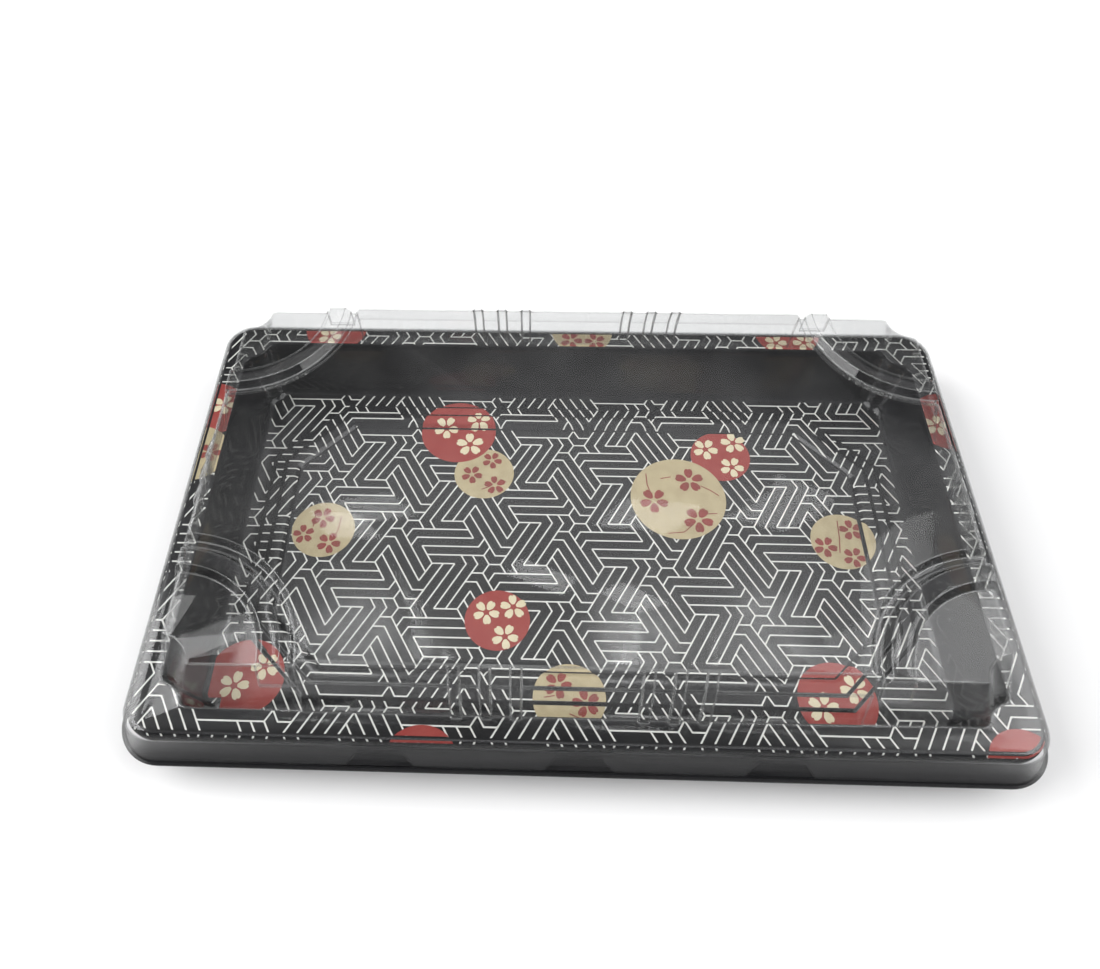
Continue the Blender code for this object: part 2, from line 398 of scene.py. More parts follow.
@dataclass(frozen=True)
class Outline:
    """A level rectangle outline with the same corner four times.

    Args:
        half_x: Half its length.
        half_y: Half its width.
        height: Its level above the ground.
        corner: The corners' shape.
        size: Round radius, scoop radius or chamfer leg.
        fillet: Radius where a scoop or chamfer meets the sides.
    """

    half_x: float
    half_y: float
    height: float
    corner: Corner
    size: float
    fillet: float = 0.0

    def draw(self) -> None:
        """Draw the closed outline into the open mesh, anticlockwise, always with ROW vertices."""
        first = count_verts()
        turns = ((1, 1), (-1, 1), (-1, -1), (1, -1))
        ahead = Vector((0.0, 1.0, 0.0))
        for number, (side_x, side_y) in enumerate(turns):
            sharp = Vector((side_x * self.half_x, side_y * self.half_y, self.height))
            left = Vector((-ahead.y, ahead.x, 0.0))
            start = sharp - ahead * self.run()
            if number == 0:
                dot(start)
            else:
                step_on(start - self.end_of(turns[number - 1], ahead))
            self.draw_corner(sharp, start, ahead, left)
            ahead = left
        last = count_verts() - 1
        pick(lambda index, place: index in (first, last))
        bpy.ops.mesh.edge_face_add()

    def run(self) -> float:
        """Distance from the sharp corner to where the corner's shape starts."""
        if self.corner is Corner.ROUND:
            return self.size
        if self.corner is Corner.SCOOPED:
            return math.sqrt(self.size ** 2 + 2 * self.size * self.fillet)
        return self.size + self.fillet * math.tan(math.pi / 8)

    def end_of(self, turn: tuple[int, int], left: Vector) -> Vector:
        """Where a corner's shape ends.

        Args:
            turn: Signs of the corner's X and Y.
            left: Direction of the side that leaves the corner.

        Returns:
            The end's place.
        """
        sharp = Vector((turn[0] * self.half_x, turn[1] * self.half_y, self.height))
        return sharp + left * self.run()

    def draw_corner(self, sharp: Vector, start: Vector, ahead: Vector, left: Vector) -> None:
        """Draw one corner on from the selected vertex.

        Args:
            sharp: The rectangle's own corner.
            start: Where the corner's shape starts.
            ahead: Direction of the side that arrives.
            left: Direction of the side that leaves.
        """
        if self.corner is Corner.ROUND:
            swing(start + left * self.size, 90.0, QUARTER - 1)
            return
        first_centre = start + left * self.fillet
        last_centre = sharp + left * self.run() - ahead * self.fillet
        if self.corner is Corner.SCOOPED:
            tilt = math.degrees(math.atan2(self.fillet, self.run()))
            swing(first_centre, 90.0 - tilt, FILLET_STEPS)
            swing(sharp, 2 * tilt - 90.0, MIDDLE_STEPS)
            swing(last_centre, 90.0 - tilt, FILLET_STEPS)
            return
        swing(first_centre, 45.0, FILLET_STEPS)
        slant = self.fillet * math.tan(math.pi / 8) * math.sqrt(0.5)
        move = (ahead + left) * (self.size - 2 * slant) / MIDDLE_STEPS
        for _ in range(MIDDLE_STEPS):
            step_on(move)
        swing(last_centre, 45.0, FILLET_STEPS)


def bridge_row(row: int) -> None:
    """Bridge a drawn row to the one before it, corner by corner, then side by side.

    Args:
        row: Number of the row.
    """
    base = (row - 1) * ROW
    for corner in range(4):
        pick(lambda index, place: index >= base and (index - base) % ROW // QUARTER == corner)
        bpy.ops.mesh.bridge_edge_loops()
    for corner in range(4):
        ends = ((corner + 1) * QUARTER - 1, (corner + 1) * QUARTER % ROW)
        pick(lambda index, place: base <= index < base + 2 * ROW and (index - base) % ROW in ends)
        bpy.ops.mesh.edge_face_add()


def skin(name: str, outlines: Sequence[Outline], close_first: bool = False) -> bpy.types.Object:
    """Draw outlines, bridge each to the next and fill the last one.

    Args:
        name: Name of the piece.
        outlines: The outlines in order.
        close_first: Fill the first outline too.

    Returns:
        The skinned piece.
    """
    piece = new_piece(name)
    with editing(piece):
        for row, outline in enumerate(outlines):
            outline.draw()
            if row:
                bridge_row(row)
        pick(lambda index, place: index >= (len(outlines) - 1) * ROW)
        bpy.ops.mesh.edge_face_add()
        if close_first:
            pick(lambda index, place: index < ROW)
            bpy.ops.mesh.edge_face_add()
        face_outward()
    return piece


def face_up(piece: bpy.types.Object, near: Vector) -> None:
    """Turn an open shell over if its face nearest a place looks down.

    Args:
        piece: The shell.
        near: The place.
    """
    nearest = min(piece.data.polygons, key=lambda face: (face.center - near).length)
    if nearest.normal.z < 0:
        with editing(piece):
            bpy.ops.mesh.select_all(action="SELECT")
            bpy.ops.mesh.flip_normals()


# ---------------------------------------------------------------- shader maths

@dataclass(frozen=True)
class Signal:
    """One number socket of a material that can be used in expressions."""

    graph: "Graph"
    socket: bpy.types.NodeSocket

    def _with(self, operation: str, *others: object) -> "Signal":
        """The result of a Math node on this signal and others."""
        return self.graph.maths(operation, self, *others)

    def __add__(self, other: object) -> "Signal":
        """Sum."""
        return self._with("ADD", other)

    __radd__ = __add__

    def __mul__(self, other: object) -> "Signal":
        """Product."""
        return self._with("MULTIPLY", other)

    __rmul__ = __mul__

    def __sub__(self, other: object) -> "Signal":
        """Difference."""
        return self._with("SUBTRACT", other)

    def __rsub__(self, other: object) -> "Signal":
        """Difference from a number."""
        return self.graph.maths("SUBTRACT", other, self)

    def __pow__(self, other: object) -> "Signal":
        """Power."""
        return self._with("POWER", other)

    def at_most(self, other: object) -> "Signal":
        """The smaller of two."""
        return self._with("MINIMUM", other)


class Graph:
    """The node tree of one material."""

    def __init__(self, name: str) -> None:
        """Start an empty material.

        Args:
            name: The material's name.
        """
        self.material = bpy.data.materials.new(name)
        self.material.use_nodes = True
        self.tree = self.material.node_tree
        self.tree.nodes.clear()

    def node(self, kind: str, values: dict[str | int, object] | None = None,
             **settings: object) -> bpy.types.Node:
        """Add a node.

        Args:
            kind: The node's type.
            values: Numbers, colours, sockets or signals by input name or number.
            settings: Its settings by name, set first.

        Returns:
            The node.
        """
        made = self.tree.nodes.new(kind)
        for key, value in settings.items():
            setattr(made, key, value)
        for key, value in (values or {}).items():
            if isinstance(value, Signal):
                self.tree.links.new(value.socket, made.inputs[key])
            elif isinstance(value, bpy.types.NodeSocket):
                self.tree.links.new(value, made.inputs[key])
            else:
                made.inputs[key].default_value = value
        return made

    def maths(self, operation: str, *terms: object) -> Signal:
        """Add a Math node.

        Args:
            operation: What it does.
            terms: Its inputs in order.

        Returns:
            Its result.
        """
        made = self.node("ShaderNodeMath", dict(enumerate(terms)), operation=operation)
        return Signal(self, made.outputs[0])

    def place(self) -> bpy.types.NodeSocket:
        """The piece's own coordinates in metres."""
        return self.node("ShaderNodeTexCoord").outputs["Object"]

    def stretched(self, scale: Sequence[float]) -> bpy.types.NodeSocket:
        """The piece's own coordinates, scaled along each axis."""
        mapping = self.node("ShaderNodeMapping", {"Vector": self.place(), "Scale": scale})
        return mapping.outputs["Vector"]

    def noise(self, scale: float, detail: float = 2.0, rough: float = 0.5,
              vector: bpy.types.NodeSocket | None = None) -> Signal:
        """A noise pattern.

        Args:
            scale: Grains per metre.
            detail: Number of octaves.
            rough: Strength of the fine octaves.
            vector: Coordinates, or the piece's own.

        Returns:
            Noise from 0 to 1.
        """
        made = self.node("ShaderNodeTexNoise", {
            "Vector": vector or self.place(), "Scale": scale, "Detail": detail, "Roughness": rough})
        return Signal(self, made.outputs["Fac"])

    def ramp(self, value: Signal, low: float, high: float) -> Signal:
        """A signal stretched so that low becomes 0 and high becomes 1.

        Args:
            value: The signal.
            low: What becomes 0.
            high: What becomes 1.

        Returns:
            The stretched signal, clamped.
        """
        made = self.node("ShaderNodeMapRange", {
            "Value": value, "From Min": low, "From Max": high, "To Min": 0.0, "To Max": 1.0})
        return Signal(self, made.outputs["Result"])

    def blend(self, share: Signal, first: object, second: object) -> bpy.types.NodeSocket:
        """Mix two colours.

        Args:
            share: Share of the second.
            first: A colour or socket.
            second: A colour or socket.

        Returns:
            The mixed colour.
        """
        made = self.node("ShaderNodeMix", {0: share, 6: first, 7: second}, data_type="RGBA")
        return made.outputs[2]

    def surface(self, values: dict[str | int, object]) -> bpy.types.NodeSocket:
        """A Principled shader.

        Args:
            values: Its inputs by name.

        Returns:
            The shader.
        """
        return self.node("ShaderNodeBsdfPrincipled", values).outputs[0]

    def cover(self, share: Signal, under: bpy.types.NodeSocket,
              over: bpy.types.NodeSocket) -> bpy.types.NodeSocket:
        """Mix two shaders.

        Args:
            share: Share of the upper one.
            under: The lower shader.
            over: The upper shader.

        Returns:
            The mixed shader.
        """
        return self.node("ShaderNodeMixShader", {0: share, 1: under, 2: over}).outputs[0]

    def bump(self, height: Signal, strength: float, distance: float) -> bpy.types.NodeSocket:
        """A bumped normal.

        Args:
            height: Relief from 0 to 1.
            strength: Strength of the relief.
            distance: Depth of the relief in metres.

        Returns:
            The normal.
        """
        made = self.node("ShaderNodeBump", {
            "Height": height, "Strength": strength, "Distance": distance})
        return made.outputs["Normal"]

    def output(self, shader: bpy.types.NodeSocket) -> bpy.types.Material:
        """Send a shader to the surface and hand the material over."""
        self.node("ShaderNodeOutputMaterial", {"Surface": shader})
        return self.material


# ---------------------------------------------------------------- finishes

def tone(red: int, green: int, blue: int) -> tuple[float, float, float, float]:
    """A colour from 0 to 255 as a linear colour.

    Args:
        red: Red part.
        green: Green part.
        blue: Blue part.

    Returns:
        The linear colour with full alpha.
    """
    linear = []
    for part in (red, green, blue):
        share = part / 255
        linear.append(share / 12.92 if share <= 0.04045 else ((share + 0.055) / 1.055) ** 2.4)
    return (linear[0], linear[1], linear[2], 1.0)


@dataclass(frozen=True)
class BlackSheet:
    """Glossy black formed sheet with faint waves, haze and handling marks."""

    colour: tuple[float, float, float, float] = (0.008, 0.008, 0.009, 1.0)
    dusted: tuple[float, float, float, float] = (0.018, 0.018, 0.020, 1.0)
    gloss_from: float = 0.08
    gloss_to: float = 0.20

    def make(self) -> bpy.types.Material:
        """Build the material."""
        graph = Graph("black formed sheet")
        haze = graph.ramp(graph.noise(55.0, 4.0, 0.6), 0.35, 0.75)
        along = graph.stretched((1.0, 0.12, 1.0))
        scuffs = graph.ramp(graph.noise(900.0, 2.0, 0.5, along), 0.62, 0.75)
        specks = graph.ramp(graph.noise(2600.0, 1.0), 0.70, 0.78)
        waves = graph.noise(38.0, 1.0)
        return graph.output(graph.surface({
            "Base Color": graph.blend(0.6 * haze + 0.4 * specks, self.colour, self.dusted),
            "Roughness": self.gloss_from + (self.gloss_to - self.gloss_from) * haze + 0.02 * scuffs,
            "Normal": graph.bump(waves, 0.35, 0.25 * MM),
            "IOR": 1.5}))


@dataclass(frozen=True)
class Ink:
    """Printing ink under a gloss film: mottled colour, fine screen grain.

    Args:
        name: What it prints.
        colour: Its full colour.
        thin: Its colour where it lies thin.
    """

    name: str
    colour: tuple[float, float, float, float]
    thin: tuple[float, float, float, float]
    roughness: float = 0.30

    def make(self) -> bpy.types.Material:
        """Build the material."""
        graph = Graph(self.name)
        mottle = graph.ramp(graph.noise(260.0, 3.0, 0.6), 0.35, 0.70)
        grain = graph.noise(5200.0, 1.0)
        return graph.output(graph.surface({
            "Base Color": graph.blend(0.7 * mottle + 0.3 * grain, self.colour, self.thin),
            "Roughness": self.roughness + 0.15 * mottle,
            "Normal": graph.bump(grain, 0.2, 0.02 * MM),
            "IOR": 1.5}))


@dataclass(frozen=True)
class ClearSheet:
    """Clear formed sheet: lets light through, mirrors at low angles, with a faint haze.

    Args:
        name: The material's name.
        tint: What one surface lets through.
        mirror: Strength of the mirror.
        brightest: The mirror's largest share.
        roughness: Roughness of the mirror.
        level: Height of the flange above the ground.
        haze: How strong the haze is.
        haze_colour: The haze's colour.
        haze_band: From the flange, where the haze starts and where it is full; the weaker haze below is
            painted shade.
        painted_shade: Strength of the painted shade on the skirt below the flange.
        painted_shade_colour: Colour of that painted shade.
        painted_shade_band: From the flange, where the painted shade starts and where it is full.
        painted_shade_sides: From the middle along Y, where the stronger painted shade of the long sides
            starts and is full.
    """

    name: str = "clear formed sheet"
    tint: tuple[float, float, float, float] = (0.928, 0.930, 0.930, 1.0)
    mirror: float = 0.5
    brightest: float = 0.3
    roughness: float = 0.05
    level: float = 22.1 * MM
    haze: float = 0.012
    haze_colour: tuple[float, float, float, float] = (0.62, 0.63, 0.62, 1.0)
    haze_band: Point = (0.3 * MM, 1.3 * MM)
    painted_shade: float = 0.88
    painted_shade_colour: tuple[float, float, float, float] = (0.006, 0.006, 0.007, 1.0)
    painted_shade_band: Point = (-0.8 * MM, -2.2 * MM)
    painted_shade_sides: Point = (76.0 * MM, 79.5 * MM)

    def make(self) -> bpy.types.Material:
        """Build the material."""
        graph = Graph(self.name)
        ripples = 0.22 * graph.noise(95.0, 2.0) + 0.06 * graph.noise(240.0, 2.0)
        relief = graph.bump(graph.noise(30.0, 2.0, 0.6) + ripples, 0.16, 0.5 * MM)
        split = graph.node("ShaderNodeSeparateXYZ", {0: graph.place()})
        above = Signal(graph, split.outputs["Z"]) - self.level
        aside = graph.maths("ABSOLUTE", Signal(graph, split.outputs["Y"]))
        low = graph.ramp(above, *self.painted_shade_band)
        high = graph.ramp(above, *self.haze_band)

        clear = graph.node("ShaderNodeBsdfTransparent", {"Color": self.tint}).outputs[0]
        dust = graph.surface({"Base Color": self.haze_colour, "Roughness": 0.4})
        patches = graph.ramp(graph.noise(70.0, 4.0, 0.6), 0.35, 0.8)
        # The haze fades to 15 percent towards and below the flange: painted shade that keeps the rolled
        # rim and skirt dim.
        cloud = self.haze * (0.5 + patches) * (0.15 + 0.85 * high)
        hazed = graph.cover(cloud, clear, dust)

        # Painted shade: a near-black layer over the skirt below the flange, stronger on the long sides
        # than at the two ends.
        painted_shade_surface = graph.surface({
            "Base Color": self.painted_shade_colour, "Roughness": 0.3, "Specular IOR Level": 0.1})
        share = self.painted_shade * low * (0.55 + 0.45 * graph.ramp(aside, *self.painted_shade_sides))
        with_painted_shade = graph.cover(share, hazed, painted_shade_surface)

        mirror = graph.node("ShaderNodeBsdfGlossy", {
            "Color": (1.0, 1.0, 1.0, 1.0), "Roughness": self.roughness, "Normal": relief})
        slant = graph.node("ShaderNodeLayerWeight", {"Blend": 0.5, "Normal": relief})
        facing = Signal(graph, slant.outputs["Facing"])
        sheen = (self.mirror * (0.04 + 0.96 * facing ** 5)).at_most(self.brightest)
        # On the skirt the mirror is dimmed too, painted shade on its reflection.
        return graph.output(graph.cover(sheen * (1.0 - 0.6 * low), with_painted_shade, mirror.outputs[0]))


# ---------------------------------------------------------------- tray

@dataclass
class TrayShell:
    """The black formed tray: rolled rim, flange, scooped walls, floor with its ring.

    The sizes are in metres, and reach counts outwards from the flat flange's outer edge.
    """

    half_x: float = 124.6 * MM
    half_y: float = 74.5 * MM
    level: float = 22.1 * MM
    depth: float = 21.3 * MM
    sheet: float = 0.8 * MM
    roll: float = 1.9 * MM
    roll_drop: float = 3.8 * MM
    roll_shoulder: float = 2.2 * MM
    roll_steps: int = 5
    rim_round: float = 9.2 * MM
    flange: float = 6.2 * MM
    wall_run: float = 6.5 * MM
    wall_bend: Point = (-0.9 * MM, -3.0 * MM)
    foot_bend: Point = (1.0 * MM, 1.3 * MM)
    scoop_top: Point = (7.3 * MM, 3.3 * MM)
    scoop_bend: Point = (6.8 * MM, 3.4 * MM)
    scoop_foot: Point = (4.0 * MM, 4.0 * MM)
    ring: tuple[Point, ...] = ((-18.2, 0.0), (-18.7, 0.7), (-22.4, 0.7), (-22.9, 1.4),
                               (-26.7, 1.4), (-28.2, 0.0), (-29.7, 0.0))
    ring_chamfer: float = 23.7 * MM
    ring_fillet: float = 4.0 * MM
    crease: float = 0.45 * MM
    crease_angle: float = 24
    smooth_angle: float = 35
    piece: bpy.types.Object = field(init=False)

    @property
    def floor(self) -> float:
        """Height of the floor's upper face."""
        return self.level - self.depth

    @property
    def well_half(self) -> Point:
        """Half sizes of the floor at the wall's foot."""
        inward = self.flange + self.wall_run
        return self.half_x - inward, self.half_y - inward

    def at(self, reach: float, height: float, corner: Corner, size: float,
           fillet: float = 0.0) -> Outline:
        """An outline of the tray.

        Args:
            reach: Distance out from the flange's edge.
            height: Level below or above the flange.
            corner: Shape of the corners.
            size: Size of the corners.
            fillet: Radius at the corners' ends.

        Returns:
            The outline.
        """
        return Outline(self.half_x + reach, self.half_y + reach, self.level + height,
                       corner, size, fillet)

    def outlines(self) -> list[Outline]:
        """All outlines from the rim's lower edge in to the floor."""
        rows = [self.at(self.roll, -self.roll_drop, Corner.ROUND, self.rim_round)]
        for step in range(self.roll_steps + 1):
            angle = math.radians(90 / self.roll_steps * step)
            reach = self.roll * math.cos(angle)
            drop = self.roll_shoulder * (1 - math.sin(angle))
            rows.append(self.at(reach, -drop, Corner.ROUND, self.rim_round - self.roll + reach))
        top = -self.flange
        foot = top - self.wall_run
        for reach, height, scoop in (
                (top, 0.0, self.scoop_top),
                (top + self.wall_bend[0], self.wall_bend[1], self.scoop_bend),
                (foot + self.foot_bend[0], self.foot_bend[1] - self.depth, self.scoop_foot),
                (foot, -self.depth, self.scoop_foot)):
            rows.append(self.at(reach, height, Corner.SCOOPED, *scoop))
        for reach, rise in self.ring:
            rows.append(self.at(reach * MM, -self.depth + rise * MM, Corner.CHAMFERED,
                                self.leg_at(reach * MM), self.ring_fillet))
        return rows

    def leg_at(self, reach: float) -> float:
        """Chamfer leg of the ring's outline at a reach."""
        return self.ring_chamfer - (self.ring[0][0] * MM - reach) * (2 - math.sqrt(2))

    def reach_at(self, spot: Vector) -> float:
        """Reach of the ring's outline that passes through a spot."""
        slant = math.sqrt(2)
        past = abs(spot.x) + abs(spot.y) - self.half_x - self.half_y + self.ring_chamfer
        corner = (past - self.ring[0][0] * MM * (2 - slant)) / slant
        return max(abs(spot.x) - self.half_x, abs(spot.y) - self.half_y, corner)

    def build(self, finish: bpy.types.Material) -> bpy.types.Object:
        """Skin the sheet, round its creases and give it its thickness.

        Args:
            finish: The tray's material.

        Returns:
            The tray.
        """
        self.piece = skin("tray_shell", self.outlines())
        face_up(self.piece, Vector((0.0, 0.0, self.floor)))
        apply_modifier(self.piece, "BEVEL", width=self.crease, segments=3, limit_method="ANGLE",
                       angle_limit=math.radians(self.crease_angle), use_clamp_overlap=True)
        weld(self.piece, 0.02 * MM)
        apply_modifier(self.piece, "SOLIDIFY", thickness=self.sheet, offset=-1.0)
        smooth(self.piece, self.smooth_angle)
        dress(self.piece, finish)
        return self.piece


# ---------------------------------------------------------------- printing

# The strokes of one third of a knot, as corners on the lattice.
STROKES = (
    ((0, 0), (1, 0)),
    ((0, 3), (0, 5)),
    ((2, -1), (1, 0), (1, 5)),
    ((3, -1), (2, 0), (2, 5)),
    ((3, 0), (3, 5), (2, 6)),
    ((4, 0), (4, 5), (3, 6)),
    ((5, 0), (5, 2)),
)
# Height at which films are drawn flat, before they are laid on the tray.
HOVER = 40.0 * MM


@dataclass(frozen=True)
class Lattice:
    """Triangular grid that the braided bars follow.

    Args:
        edge: Side of a triangle.
        start_x: X of the grid's zero.
        start_y: Y of the grid's zero.
        stride: Grid steps from one knot to the next.
        most: Most strides from the grid's zero.
    """

    edge: float = 3.785 * MM
    start_x: float = 0.3 * MM
    start_y: float = 7.0 * MM
    stride: int = 5
    most: int = 9

    def place(self, across: float, along: float) -> Vector:
        """Place of a grid point, above the tray."""
        return Vector((self.start_x + (across + along / 2) * self.edge,
                       self.start_y + along * self.edge * math.sqrt(0.75), HOVER))

    def knots(self, reach_x: float, reach_y: float) -> list[Vector]:
        """Places where the braid repeats, within a rectangle.

        Args:
            reach_x: Half the rectangle's length.
            reach_y: Half its width.

        Returns:
            The places.
        """
        found = []
        counts = range(-self.most, self.most + 1)
        for first in counts:
            for second in counts:
                spot = self.place(self.stride * (first + 2 * second), self.stride * (first - second))
                if abs(spot.x) < reach_x and abs(spot.y) < reach_y:
                    found.append(spot)
        return found


@dataclass(frozen=True)
class Layers:
    """How the layers of one printed film lie over each other.

    Args:
        lowest: Height of the first layer above the tray.
        step: Height from one layer to the next.
        thickness: Thickness of a layer.
    """

    lowest: float
    step: float
    thickness: float


@dataclass
class Printing:
    """Lays printed films over the tray: cuts them at its creases, trims and drapes them.

    Args:
        tray: The tray they lie on.
        creases: Cuts beside each edge of the floor's ring.
        well_margin: Bare strip at the wall's foot.
        well_scoop: Radius of the bare corners there.
        flange_margin: Bare strip along the flange's inner edge.
        flange_scoop: Radius of the print's corners there.
        roll_bands: Where the flange's print ends, where the roll's starts, a cut, and its end.
        risers: Bare bands on the floor's ring, where the stretched print is left off; the bare black
            also stands as painted shade on the steep risers.
        end_margin: How much wider those are at the tray's two ends, with more painted shade there.
        tangents: Cuts for each quarter circle.
        well_patch: Half the patch that those cuts cover on floor and flange.
        rim_patch: The same on the roll.
    """

    tray: TrayShell
    creases: tuple[float, ...] = (-0.6 * MM, -0.3 * MM, 0.0, 0.3 * MM, 0.6 * MM)
    well_margin: float = 0.5 * MM
    well_scoop: float = 4.6 * MM
    flange_margin: float = 0.35 * MM
    flange_scoop: float = 7.0 * MM
    roll_bands: tuple[float, ...] = (0.1 * MM, 1.15 * MM, 1.38 * MM, 1.6 * MM)
    risers: tuple[Point, ...] = ((-19.0 * MM, -17.9 * MM), (-23.2 * MM, -22.1 * MM),
                                 (-28.5 * MM, -27.9 * MM))
    end_margin: float = 0.3 * MM
    tangents: int = 7
    well_patch: float = 5 * MM
    rim_patch: float = 4 * MM

    def cut(self, spot: Vector, normal: Vector) -> None:
        """Cut the selected faces along an upright plane."""
        bpy.ops.mesh.bisect(plane_co=spot, plane_no=normal, threshold=0.000001)

    def cut_frame(self, half_x: float, half_y: float) -> None:
        """Cut along the four sides of a rectangle.

        Args:
            half_x: Half its length.
            half_y: Half its width.
        """
        for side in (-1, 1):
            for spot, normal in ((Vector((side * half_x, 0, 0)), Vector((1, 0, 0))),
                                 (Vector((0, side * half_y, 0)), Vector((0, 1, 0)))):
                bpy.ops.mesh.select_all(action="SELECT")
                self.cut(spot, normal)

    def cut_slants(self, total: float) -> None:
        """Cut along the four slanted sides of the ring.

        Args:
            total: Sum of the lengths of X and Y on them.
        """
        for side_x in (-1, 1):
            for side_y in (-1, 1):
                normal = Vector((side_x, side_y, 0.0)).normalized()
                bpy.ops.mesh.select_all(action="SELECT")
                self.cut(normal * total * math.sqrt(0.5), normal)

    def cut_round(self, centre: Point, radius: float, reach: float, inward: bool) -> None:
        """Cut along short tangents of a quarter circle at all four corners.

        Args:
            centre: The circle's middle in the first quarter.
            radius: Its radius.
            reach: Distance from the middle in which faces are cut.
            inward: The arc faces the tray's middle.
        """
        for side_x in (-1, 1):
            for side_y in (-1, 1):
                middle = Vector((side_x * centre[0], side_y * centre[1], 0.0))
                for step in range(self.tangents):
                    angle = math.pi / 2 * (step + 0.5) / self.tangents
                    away = Vector((side_x * math.cos(angle), side_y * math.sin(angle), 0.0))
                    if inward:
                        away = -away
                    touch = middle + away * radius
                    pick_faces(lambda spot, normal: abs(spot.x - touch.x) < reach
                               and abs(spot.y - touch.y) < reach)
                    self.cut(touch, away)

    def corner_gap(self, spot: Vector, centre: Point) -> float:
        """Distance of a spot from the nearest corner circle's middle."""
        return math.hypot(abs(spot.x) - centre[0], abs(spot.y) - centre[1])

    def on_floor(self, spot: Vector) -> bool:
        """True where the print may lie on the floor."""
        half_x, half_y = self.tray.well_half
        inside = abs(spot.x) < half_x - self.well_margin and abs(spot.y) < half_y - self.well_margin
        return (inside and self.corner_gap(spot, (half_x, half_y)) > self.well_scoop
                and not self.on_riser(spot))

    def on_riser(self, spot: Vector) -> bool:
        """True along the risers of the floor's ring, which take no ink, least of all at the ends."""
        # On the risers the print is left off where it would stretch, and the bare black serves as
        # painted shade on the steep faces.
        reach = self.tray.reach_at(spot)
        at_end = abs(spot.x) - self.tray.half_x > abs(spot.y) - self.tray.half_y
        more = self.end_margin if at_end else 0.0
        return any(low - more < reach < high + more for low, high in self.risers)

    def on_flange(self, spot: Vector) -> bool:
        """True where the print may lie on the flange and over the rolled rim."""
        tray = self.tray
        first, bare, _, last = self.roll_bands
        over = max(abs(spot.x) - tray.half_x, abs(spot.y) - tray.half_y)
        middle = (tray.half_x + tray.roll - tray.rim_round, tray.half_y + tray.roll - tray.rim_round)
        if abs(spot.x) > middle[0] and abs(spot.y) > middle[1]:
            over = self.corner_gap(spot, middle) - tray.rim_round + tray.roll
        if over > last or first < over < bare:
            return False
        hole_x = tray.half_x - tray.flange + self.flange_margin
        hole_y = tray.half_y - tray.flange + self.flange_margin
        if abs(spot.x) > hole_x or abs(spot.y) > hole_y:
            return True
        return self.corner_gap(spot, (hole_x, hole_y)) < self.flange_scoop

    def lay(self, film: bpy.types.Object, layers: Layers) -> None:
        """Lay a flat film on the tray.

        Args:
            film: The film, flat above the tray, with one vertex group for each layer.
            layers: How its layers lie.
        """
        self.trim(film)
        apply_modifier(film, "SHRINKWRAP", target=self.tray.piece, wrap_method="PROJECT",
                       use_project_z=True, use_negative_direction=True,
                       use_positive_direction=False)
        self.lift(film, layers)
        apply_modifier(film, "SOLIDIFY", thickness=layers.thickness, offset=-1.0)

    def trim(self, film: bpy.types.Object) -> None:
        """Cut a flat film at the tray's creases and drop what would lie on bare places.

        Args:
            film: The film.
        """
        tray = self.tray
        half_x, half_y = tray.well_half
        with editing(film):
            bpy.ops.mesh.select_mode(type="FACE")
            self.cut_frame(half_x - self.well_margin, half_y - self.well_margin)
            self.cut_round((half_x, half_y), self.well_scoop, self.well_patch, True)
            for reach, _ in tray.ring[:-1]:
                for shift in self.creases:
                    line = reach * MM + shift
                    self.cut_frame(tray.half_x + line, tray.half_y + line)
                    self.cut_slants(tray.half_x + tray.half_y + 2 * line - tray.leg_at(line))
            inner = self.flange_margin - tray.flange
            hole = (tray.half_x + inner, tray.half_y + inner)
            self.cut_frame(*hole)
            self.cut_round(hole, self.flange_scoop, self.well_patch, True)
            start = tray.rim_round - tray.roll
            middle = (tray.half_x - start, tray.half_y - start)
            for band in self.roll_bands:
                self.cut_frame(tray.half_x + band, tray.half_y + band)
                self.cut_round(middle, start + band, self.rim_patch, False)
            pick_faces(lambda spot, normal: not (self.on_floor(spot) or self.on_flange(spot)))
            bpy.ops.mesh.delete(type="FACE")

    def lift(self, film: bpy.types.Object, layers: Layers) -> None:
        """Raise each layer of a draped film to its own level above the tray.

        Args:
            film: The film, with one vertex group for each layer.
            layers: How its layers lie.
        """
        with editing(film):
            for number, group in enumerate(film.vertex_groups):
                bpy.ops.mesh.select_all(action="DESELECT")
                film.vertex_groups.active_index = group.index
                bpy.ops.object.vertex_group_select()
                bpy.ops.transform.translate(value=(0.0, 0.0, layers.lowest + number * layers.step))
        film.vertex_groups.clear()


